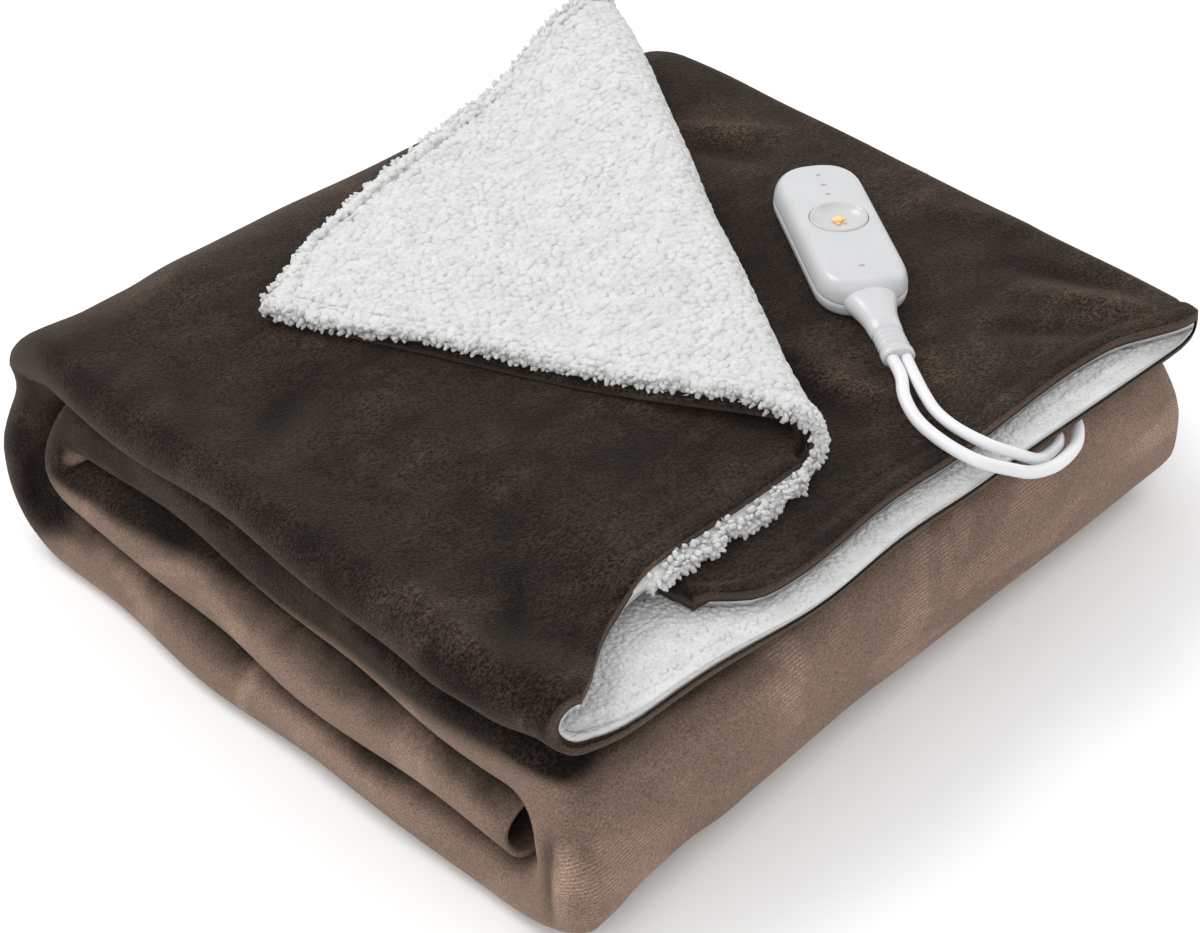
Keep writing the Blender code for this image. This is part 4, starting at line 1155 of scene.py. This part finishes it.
# ================================================================ the hand control
CONTROL_LENGTH = 0.114
CONTROL_WIDTH = 0.045
CONTROL_ROUND = 0.8  # of its ends; 1 is a half circle, less is squarer
CONTROL_SPLIT = 0.0075
CONTROL_HEIGHT = 0.0190
CONTROL_PLACE = Vector((0.3317, 0.1636))
CONTROL_TURN = math.radians(58)
CONTROL_SEAT = LEVEL_1 + MIDDLE_TOP + SKIN_GAP
SHELL_POINTS = 96
FACE_RINGS = 22  # from the shell's rounded edge in to the dish
FACE_INSET = 0.0066
LEDGE_X = -0.0290  # the lower face lies a little deeper, from here to the cords
LEDGE_DEPTH = 0.0007
LEDGE_SOFT = 0.0026
# how far along the ledge's line curves at one side, and where across the face it does
LEDGE_CORNER = -0.0040
LEDGE_CORNER_PLACE = (0.006, 0.020)
# where it ends and how softly: at the sides and at the cords
LEDGE_SIDE = (0.0120, 0.0040)
LEDGE_END = (-0.0450, 0.0050)
# inset and height of the rings of the shells
BASE_RINGS = (
    (0.0045, 0.0),
    (0.0030, 0.0003),
    (0.0018, 0.0010),
    (0.0009, 0.0020),
    (0.0004, 0.0030),
    (0.0, 0.0052),
    (0.0, 0.0071),
    (0.0004, CONTROL_SPLIT),
)
TOP_RINGS = (
    (0.0006, 0.0078),
    (0.0001, 0.0081),
    (0.0, 0.0088),
    (0.0002, 0.0106),
    (0.0006, 0.0126),
    (0.0012, 0.0145),
    (0.0021, 0.0162),
    (0.0032, 0.0175),
    (0.0044, 0.0184),
    (0.0055, 0.0188),
    (FACE_INSET, 0.0190),
)

BUTTON_MIDDLE = Vector((0.0029, 0.0))
BUTTON_LENGTH = 0.0262
BUTTON_WIDTH = 0.0285
BUTTON_POINTS = 72
# size and height of the rings of the dished button, with its raised lip
BUTTON_RINGS = (
    (0.94, 0.0003),
    (1.0, 0.0010),
    (1.0, 0.0047),
    (0.985, 0.0055),
    (0.955, 0.0058),
    (0.920, 0.0054),
    (0.870, 0.0044),
    (0.78, 0.0034),
    (0.66, 0.0026),
    (0.50, 0.0020),
    (0.32, 0.0017),
    (0.14, 0.0016),
)
SEAT_DEPTH = 0.0050
SEAT_LOW = CONTROL_HEIGHT - SEAT_DEPTH
SEAT_ROOM = 0.0016  # by which its rim is larger than the button
# size of the seat's rings and their height from the face
SEAT_LIP = ((1.044, 0.0001), (1.026, 0.0001), (1.014, -0.0004), (1.009, -SEAT_DEPTH))

# size and share of the height of the rings of a small oval pad
PAD_RINGS = ((0.9, 0.0), (1.0, 0.3), (1.0, 0.7), (0.85, 1.0), (0.5, 1.0))
PAD_POINTS = 24
LIGHT_MIDDLE = BUTTON_MIDDLE + Vector((0.0016, 0.0))
LIGHT_SIZE = (0.0040, 0.0052)
# height from the seat of the light's foot, its top and the top of its strokes
LIGHT_HEIGHTS = (0.0019, 0.0034, 0.0026)
# place from the light's middle, length and width of its small strokes
LIGHT_STROKES = (
    (0.0010, -0.0034, 0.0030, 0.0010),
    (-0.0022, -0.0030, 0.0022, 0.0009),
    (-0.0030, 0.0004, 0.0012, 0.0024),
)
MARK_SUNK = 0.0001
MARK_THICKNESS = 0.0003
LEVEL_MARKS = (0.0426, 0.0330, 0.0244)  # place along the face
LEVEL_MARK_SIDE = -0.0005
LEVEL_MARK_SIZE = (0.0012, 0.0028)
WINDOW_PLACE = Vector((-0.0389, 0.0003))
WINDOW_SIZE = (0.0014, 0.0030)


def control_frame():
    spot = CONTROL_PLACE - CENTRE.xy
    return Matrix.Translation((spot.x, spot.y, CONTROL_SEAT)) @ Matrix.Rotation(CONTROL_TURN, 4, "Z")


def shell_outline(inset):
    return even_loop(stadium(CONTROL_LENGTH, CONTROL_WIDTH, SHELL_POINTS, inset))


def button_outline(size, points, room=0.0):
    """The button's outline at a size, with room round it."""
    outline = even_loop(ellipse(BUTTON_LENGTH * size + room, BUTTON_WIDTH * size + room, points))
    return [spot + BUTTON_MIDDLE for spot in outline]


def ledge(spot):
    """How deep the lower face lies at a point of it."""
    line = LEDGE_X + LEDGE_CORNER * smooth((LEDGE_CORNER_PLACE[0] - spot.y) / LEDGE_CORNER_PLACE[1])
    side = 1 - smooth((abs(spot.y) - LEDGE_SIDE[0]) / LEDGE_SIDE[1])
    end = 1 - smooth((LEDGE_END[0] - spot.x) / LEDGE_END[1])
    return LEDGE_DEPTH * smooth((line - spot.x) / LEDGE_SOFT) * side * end


def upper_shell():
    """Rounded upper shell, its face running in to the oval seat of the button."""
    rings = [ring(shell_outline(inset), height) for inset, height in TOP_RINGS]
    outer, seat = shell_outline(FACE_INSET), button_outline(1.0, SHELL_POINTS, SEAT_ROOM)
    for index in range(1, FACE_RINGS + 1):
        between = [one.lerp(two, index / FACE_RINGS) for one, two in zip(outer, seat)]
        rings.append([Vector((spot.x, spot.y, CONTROL_HEIGHT - ledge(spot))) for spot in between])
    rings += [ring(button_outline(size, SHELL_POINTS), CONTROL_HEIGHT + rise) for size, rise in SEAT_LIP]
    return ring_mesh("control_shell_upper", rings)


def add_control(finishes):
    """Shells, dished button with its light, three plain marks and the little lamp window."""
    frame = control_frame()

    def fit(name, mesh, finish, *nodes):
        mesh.transform(frame)
        add_piece(name, mesh, finishes[finish], *nodes)

    def oval_pad(name, size, spot, low, high, finish, *nodes):
        rings = []
        for share, rise in PAD_RINGS:
            outline = [point + spot for point in ellipse(size[0] * share, size[1] * share, PAD_POINTS)]
            rings.append(ring(outline, mix(low, high, rise)))
        fit(name, ring_mesh(name, rings), finish, *nodes)

    base = [ring(shell_outline(inset), height) for inset, height in BASE_RINGS]
    fit("control_shell_lower", ring_mesh("control_shell_lower", base), "plastic", "control_base")
    fit("control_shell_upper", upper_shell(), "plastic", "control_top")
    dish = [ring(button_outline(size, BUTTON_POINTS), SEAT_LOW + height) for size, height in BUTTON_RINGS]
    fit("button_dish", ring_mesh("button_dish", dish), "plastic", "control_button")
    low, high, stroke_high = (SEAT_LOW + height for height in LIGHT_HEIGHTS)
    oval_pad("button_light", LIGHT_SIZE, LIGHT_MIDDLE, low, high, "amber", "control_lens")
    for number, (x, y, *size) in enumerate(LIGHT_STROKES, 1):
        oval_pad("light_stroke_%d" % number, size, LIGHT_MIDDLE + Vector((x, y)), low, stroke_high, "amber")
    low = CONTROL_HEIGHT - MARK_SUNK
    for number, x in enumerate(LEVEL_MARKS, 1):
        spot = Vector((x, LEVEL_MARK_SIDE))
        oval_pad("level_mark_%d" % number, LEVEL_MARK_SIZE, spot, low, low + MARK_THICKNESS, "print")
    low -= LEDGE_DEPTH
    oval_pad("lamp_window", WINDOW_SIZE, WINDOW_PLACE, low, low + MARK_THICKNESS, "print")


# place along the control, half width and half height of the strain relief
RELIEF_RINGS = (
    (-0.0500, 0.0135, 0.0078),
    (-0.0545, 0.0128, 0.0079),
    (-0.0590, 0.0118, 0.0078),
    (-0.0625, 0.0107, 0.0074),
    (-0.0660, 0.0096, 0.0070),
    (-0.0700, 0.0088, 0.0065),
    (-0.0745, 0.0083, 0.0061),
    (-0.0820, 0.0078, 0.0056),
)
RELIEF_GROOVES = 4
RELIEF_GROOVE_PITCH = 0.0036
RELIEF_RIB = (0.0076, 0.0053)
RELIEF_GROOVE = (0.0067, 0.0044)
GROOVE_STEPS = 8
RELIEF_END = -0.102
RELIEF_POINTS = 32
# the same from the last groove, and from the sleeve's end
COLLAR_START = (-0.0006, 0.0079, 0.0056)
COLLAR_RINGS = ((0.0010, 0.0079, 0.0056), (0.0002, 0.0074, 0.0051), (0.0, 0.0066, 0.0043))
CORD_HEIGHT = 0.0085


def add_strain_relief(finishes):
    """Flared sleeve with round-bottomed grooves and a plain collar at its end."""
    rings = list(RELIEF_RINGS)
    start = RELIEF_RINGS[-1][0]
    for step in range(1, RELIEF_GROOVES * GROOVE_STEPS + 1):
        deep = 0.5 - 0.5 * math.cos(2 * math.pi * step / GROOVE_STEPS)
        size = [mix(rib, groove, deep) for rib, groove in zip(RELIEF_RIB, RELIEF_GROOVE)]
        rings.append((start - RELIEF_GROOVE_PITCH * step / GROOVE_STEPS, *size))
    collar = start - RELIEF_GROOVE_PITCH * RELIEF_GROOVES
    rings.append((collar + COLLAR_START[0], *COLLAR_START[1:]))
    rings += [(RELIEF_END + along, *size) for along, *size in COLLAR_RINGS]
    solid = []
    for along, half_width, half_height in rings:
        section = ellipse(2 * half_width, 2 * half_height, RELIEF_POINTS)
        solid.append([Vector((along, spot.x, CORD_HEIGHT + spot.y)) for spot in section])
    mesh = ring_mesh("relief_sleeve", solid)
    mesh.transform(control_frame())
    add_piece("relief_sleeve", mesh, finishes["plastic"], "strain_relief")


# ================================================================ cords
MAINS_RADIUS = 0.0030
LEAD_RADIUS = 0.00275
COIL_PLACE = Vector((0.505, 0.285))
COIL_RADIUS = 0.033
COIL_HALF_PACK = 0.0060
COIL_LOW = 0.0022
COIL_TOP = 0.0200
PLUG_PLACE = Vector((0.4720, 0.3530))
PLUG_HEIGHT = 0.0080
COIL_POINTS = 30  # a turn
# radius to each turn's middle and its height, from the lead to the tail
COIL_TURNS = (
    (0.0360, 0.0053),
    (0.0300, 0.0053),
    (0.0300, 0.0113),
    (0.0360, 0.0113),
    (0.0360, 0.0173),
    (0.0300, 0.0173),
)
TURN_CHANGE = 0.18  # share of a turn in which the cord crosses to the next place
FIRST_CHANGE = 0.3  # the same from the lead to the first turn
LAST_CHANGE = 0.38  # and from the last turn's height to the tail's

# Route points, by hand: x and y from the stack's left ridge and front roll, z from the floor.
MAINS_ROUTE = (
    (0.2750, 0.0787, 0.1223),
    (0.2680, 0.0674, 0.1218),
    (0.2600, 0.0580, 0.1192),
    (0.2529, 0.0433, 0.1176),
    (0.2493, 0.0246, 0.1176),
    (0.2529, 0.0093, 0.1150),
    (0.2647, 0.0012, 0.1090),
    (0.2793, -0.0013, 0.1010),
    (0.2973, -0.0005, 0.0950),
    (0.3169, 0.0045, 0.0915),
    (0.3288, 0.0116, 0.0910),
    (0.3346, 0.0190, 0.0916),
    (0.3400, 0.0320, 0.0918),
    (0.3540, 0.0620, 0.0918),
    (0.3760, 0.1000, 0.0918),
    (0.4030, 0.1330, 0.0918),
    (0.4230, 0.1460, 0.0916),
    (0.4370, 0.1570, 0.0868),
    (0.4480, 0.1720, 0.0750),
    (0.4540, 0.1870, 0.0640),
    (0.4565, 0.2020, 0.0530),
    (0.4570, 0.2180, 0.0380),
    (0.4572, 0.2350, 0.0240),
    (0.4580, 0.2520, 0.0130),
    (0.4605, 0.2690, 0.0072),
    (0.4626, 0.2850, 0.0056),
)
LEAD_ROUTE = (
    (0.2803, 0.0755, 0.1223),
    (0.2733, 0.0642, 0.1218),
    (0.2680, 0.0530, 0.1192),
    (0.2640, 0.0425, 0.1176),
    (0.2612, 0.0280, 0.1178),
    (0.2653, 0.0130, 0.1152),
    (0.2768, 0.0052, 0.1083),
    (0.2918, 0.0060, 0.0975),
    (0.3046, 0.0093, 0.0921),
    (0.3150, 0.0120, 0.0918),
    (0.3210, 0.0200, 0.0918),
    (0.3235, 0.0330, 0.0918),
    (0.3245, 0.0520, 0.0918),
    (0.3260, 0.0900, 0.0918),
    (0.3180, 0.1400, 0.0918),
    (0.3020, 0.1900, 0.0918),
    (0.2880, 0.2350, 0.0918),
    (0.2820, 0.2700, 0.0918),
)
TAIL_ROUTE = (
    (0.4720, 0.2880, 0.0236),
    (0.4716, 0.3020, 0.0234),
    (0.4712, 0.3160, 0.0212),
    (0.4714, 0.3280, 0.0142),
    (0.4720, 0.3390, 0.0086),
    (PLUG_PLACE.x, PLUG_PLACE.y - 2 * SKIN_GAP, PLUG_HEIGHT),
)


def smooth_curve(spots, steps=8):
    """Points on a smooth curve through the given ones."""
    spots = [2 * spots[0] - spots[1], *spots, 2 * spots[-1] - spots[-2]]
    fine = []
    for before, start, end, after in zip(spots, spots[1:], spots[2:], spots[3:]):
        for step in range(steps):
            t = step / steps
            square, cube = 2 * before - 5 * start + 4 * end - after, 3 * start - before - 3 * end + after
            fine.append(0.5 * (2 * start + (end - before) * t + square * t * t + cube * t * t * t))
    fine.append(spots[-2])
    return fine


def route(points):
    return [Vector(point) - CENTRE for point in points]


def coil_turns():
    """The wound length: clockwise from the side next to the stack, turn on turn."""
    middle = COIL_PLACE - CENTRE.xy
    start_radius, end_radius = COIL_PLACE.x - MAINS_ROUTE[-1][0], COIL_PLACE.x - TAIL_ROUTE[0][0]
    places = [*COIL_TURNS, (end_radius, TAIL_ROUTE[0][2])]
    turns = []
    for number, ((radius, height), (next_radius, next_height)) in enumerate(zip(places, places[1:])):
        for step in range(COIL_POINTS):
            share = step / COIL_POINTS
            change = smooth((share - 1 + TURN_CHANGE) / TURN_CHANGE)
            far = mix(radius, next_radius, change)
            if number == 0:
                far = mix(start_radius, far, smooth(share / FIRST_CHANGE))
            if number == len(COIL_TURNS) - 1:
                change = smooth((share - 1 + LAST_CHANGE) / LAST_CHANGE)
            angle = math.pi - 2 * math.pi * share
            rise = mix(height, next_height, change)
            turns.append(Vector((middle.x + far * math.cos(angle), middle.y + far * math.sin(angle), rise)))
    return turns[1:]


def cord_curve(name, points, radius):
    curve = bpy.data.curves.new(name, "CURVE")
    curve.dimensions = "3D"
    curve.bevel_depth = radius
    curve.bevel_resolution = 4
    curve.use_fill_caps = True
    line = curve.splines.new("POLY")
    line.points.add(len(points) - 1)
    for spot, point in zip(line.points, points):
        spot.co = (*point, 1.0)
    return curve


def add_cords(finishes):
    """The blanket's own lead, and the mains lead with its coil, tie and plug."""
    lead = smooth_curve(route(LEAD_ROUTE))
    curve = cord_curve("blanket_cord", lead, LEAD_RADIUS)
    cord = add_piece("blanket_cord", curve, finishes["cord"], "blanket_lead")
    mains = smooth_curve(route(MAINS_ROUTE)) + coil_turns() + smooth_curve(route(TAIL_ROUTE))
    curve = cord_curve("mains_cord", mains, MAINS_RADIUS)
    cord = add_piece("mains_cord", curve, finishes["cord"], "mains_lead", "mains_coil", "mains_tail")
    tie, plug = add_tie(finishes), add_plug(finishes)


SECTION_POINTS = 40
SECTION_ROUND = 0.5  # 1 is an ellipse, less is squarer


def rounded_section(half_width, low, high):
    """Rounded rectangle in the x-z plane about x = 0."""
    middle, half_height = (low + high) / 2, (high - low) / 2
    section = []
    for index in range(SECTION_POINTS):
        turn = 2 * math.pi * (index + 0.5) / SECTION_POINTS
        across, up = math.cos(turn), math.sin(turn)
        section.append(Vector((
            half_width * math.copysign(abs(across) ** SECTION_ROUND, across),
            middle + half_height * math.copysign(abs(up) ** SECTION_ROUND, up),
        )))
    return section


TIE_ROOM = 0.0004
TIE_THICKNESS = 0.0012
TIE_WIDTH = 0.008
# section of its wall with softened edges: share of its thickness and of its half width
TIE_SECTION = ((0.0, -1.0), (0.7, -1.0), (1.0, -0.85), (1.0, 0.85), (0.7, 1.0), (0.0, 1.0))


def add_tie(finishes):
    """Flat band closed round the coil's turns."""
    middle = COIL_PLACE - CENTRE.xy
    rings = []
    for out, side in TIE_SECTION:
        room = TIE_ROOM + TIE_THICKNESS * out
        y = middle.y + TIE_WIDTH / 2 * side
        section = rounded_section(COIL_HALF_PACK + room, COIL_LOW - room, COIL_TOP + room)
        rings.append([(middle.x + COIL_RADIUS + spot.x, y, spot.y) for spot in section])
    band = bmesh.new()
    loops = new_loops(band, rings)
    skin(band, [*loops, loops[0]])
    return add_piece("cord_tie", closed_mesh(band, "cord_tie"), finishes["cord"], "coil_tie")


PLUG_WIDTH = 0.0200
PLUG_THICKNESS = 0.0150
PLUG_NECK = 0.0110
PLUG_LENGTH = 0.0270
BLADE_SPACING = 0.0127
BLADE_LENGTH = 0.0170
BLADE_WIDTH = 0.0063
BLADE_THICKNESS = 0.0015
BLADE_BEVEL = 0.0005
# place along the plug, half width and half height
PLUG_RINGS = (
    (0.0, 0.0034, 0.0034),
    (0.0008, 0.0042, 0.0042),
    (0.0030, 0.0043, 0.0043),
    (0.0038, 0.0037, 0.0037),
    (0.0048, 0.0037, 0.0037),
    (0.0056, 0.0045, 0.0044),
    (0.0072, 0.0046, 0.0045),
    (0.0080, 0.0040, 0.0039),
    (0.0090, 0.0042, 0.0040),
    (PLUG_NECK, 0.0072, 0.0060),
    (PLUG_NECK + 0.0015, 0.0084, 0.0068),
    (PLUG_NECK + 0.0040, 0.0093, 0.0072),
    (PLUG_NECK + 0.0110, 0.0091, 0.0066),
    (PLUG_NECK + 0.0180, PLUG_WIDTH / 2, PLUG_THICKNESS / 2),
    (PLUG_NECK + 0.0230, 0.0099, 0.0074),
    (PLUG_NECK + 0.0255, 0.0095, 0.0071),
    (PLUG_NECK + PLUG_LENGTH - 0.0004, 0.0090, 0.0067),
    (PLUG_NECK + PLUG_LENGTH, 0.0084, 0.0062),
)


def add_plug(finishes):
    """Moulded two-blade plug with grip grooves in its neck and waist."""
    place = Vector((PLUG_PLACE.x, PLUG_PLACE.y, PLUG_HEIGHT)) - CENTRE
    rings = []
    for along, half_width, half_height in PLUG_RINGS:
        section = rounded_section(half_width, -half_height, half_height)
        rings.append([place + Vector((spot.x, along, spot.y)) for spot in section])
    pieces = [add_piece("plug_moulding", ring_mesh("plug_moulding", rings), finishes["plastic"], "plug_body")]
    reach = PLUG_NECK + PLUG_LENGTH + SKIN_GAP + BLADE_LENGTH / 2
    for number, side in ((1, -1), (2, 1)):
        name = "plug_pin_%d" % number
        blade = bmesh.new()
        size = Matrix.Diagonal((BLADE_THICKNESS, BLADE_LENGTH, BLADE_WIDTH, 1.0))
        bmesh.ops.create_cube(blade, size=1.0, matrix=size)
        tip = [edge for edge in blade.edges if all(vertex.co.y > 0 for vertex in edge.verts)]
        bmesh.ops.bevel(blade, geom=tip, offset=BLADE_BEVEL, segments=3, affect="EDGES")
        mesh = as_mesh(blade, name)
        mesh.transform(Matrix.Translation(place + Vector((side * BLADE_SPACING / 2, reach, 0.0))))
        pieces.append(add_piece(name, mesh, finishes["metal"], "plug_blade_%d" % number))
    return pieces


# ================================================================ floor, light and camera
FLOOR_SIZE = 8.0
FLOOR_HEIGHT = -0.0002
FLOOR_SHADE = (0.90, 0.90, 0.90)
FLOOR_LIGHT = (0.93, 0.93, 0.93)


def add_floor():
    bpy.ops.mesh.primitive_plane_add(size=FLOOR_SIZE, location=(0.0, 0.0, FLOOR_HEIGHT))
    floor = bpy.context.object
    floor.name = "floor"
    material, tree, shader = new_material("pale_floor", Roughness=0.9)
    place = wire(tree, "ShaderNodeTexCoord").outputs["Object"]
    cloud = wire(tree, "ShaderNodeTexNoise", Vector=place, Scale=2.0, Detail=3.0).outputs["Fac"]
    feed(tree, shader.inputs["Base Color"], colour_ramp(tree, cloud, FLOOR_SHADE, FLOOR_LIGHT, (0.3, 0.7)))
    floor.data.materials.append(material)


# name, place, point it faces, size and power
LAMPS = (
    ("key", (-0.6, 1.3, 1.9), (0.0, 0.0, 0.05), 1.2, 26.0),
    ("fill", (-1.6, -1.0, 1.2), (0.0, 0.0, 0.05), 1.6, 12.0),
    ("side", (1.8, -0.6, 1.0), (0.0, 0.0, 0.05), 1.4, 9.0),
)
WORLD_LIGHT = 0.85


def add_lights():
    for name, place, target, size, power in LAMPS:
        data = bpy.data.lights.new(name, "AREA")
        data.size = size
        data.energy = power
        lamp = bpy.data.objects.new(name, data)
        lamp.location = place
        lamp.rotation_euler = (Vector(target) - Vector(place)).to_track_quat("-Z", "Y").to_euler()
        bpy.context.scene.collection.objects.link(lamp)
    world = bpy.data.worlds.new("studio")
    world.use_nodes = True
    sky = world.node_tree.nodes["Background"].inputs
    sky["Color"].default_value = (1.0, 1.0, 1.0, 1.0)
    sky["Strength"].default_value = WORLD_LIGHT
    bpy.context.scene.world = world
    bpy.context.scene.view_settings.view_transform = "Standard"


CAMERA_TURN = math.radians(43.1)
CAMERA_DOWN = math.radians(37.6)
CAMERA_TARGET = Vector((0.18, 0.17, 0.06))
CAMERA_DISTANCE = 1.18
CAMERA_LENS = 76.05


def add_camera():
    data = bpy.data.cameras.new("camera")
    data.lens = CAMERA_LENS
    data.sensor_width = 36.0
    camera = bpy.data.objects.new("camera", data)
    level = math.cos(CAMERA_DOWN)
    ahead = Vector((math.sin(CAMERA_TURN) * level, math.cos(CAMERA_TURN) * level, -math.sin(CAMERA_DOWN)))
    camera.location = CAMERA_TARGET - CENTRE - ahead * CAMERA_DISTANCE
    camera.rotation_euler = Euler((math.pi / 2 - CAMERA_DOWN, 0.0, -CAMERA_TURN))
    bpy.context.scene.collection.objects.link(camera)
    bpy.context.scene.camera = camera


# ================================================================ all of it
def main():
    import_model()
    finishes = make_finishes()
    add_camera()
    add_strain_relief(finishes)
    add_cords(finishes)
    add_control(finishes)
    add_cloth(finishes)
    add_floor()
    add_lights()


main()
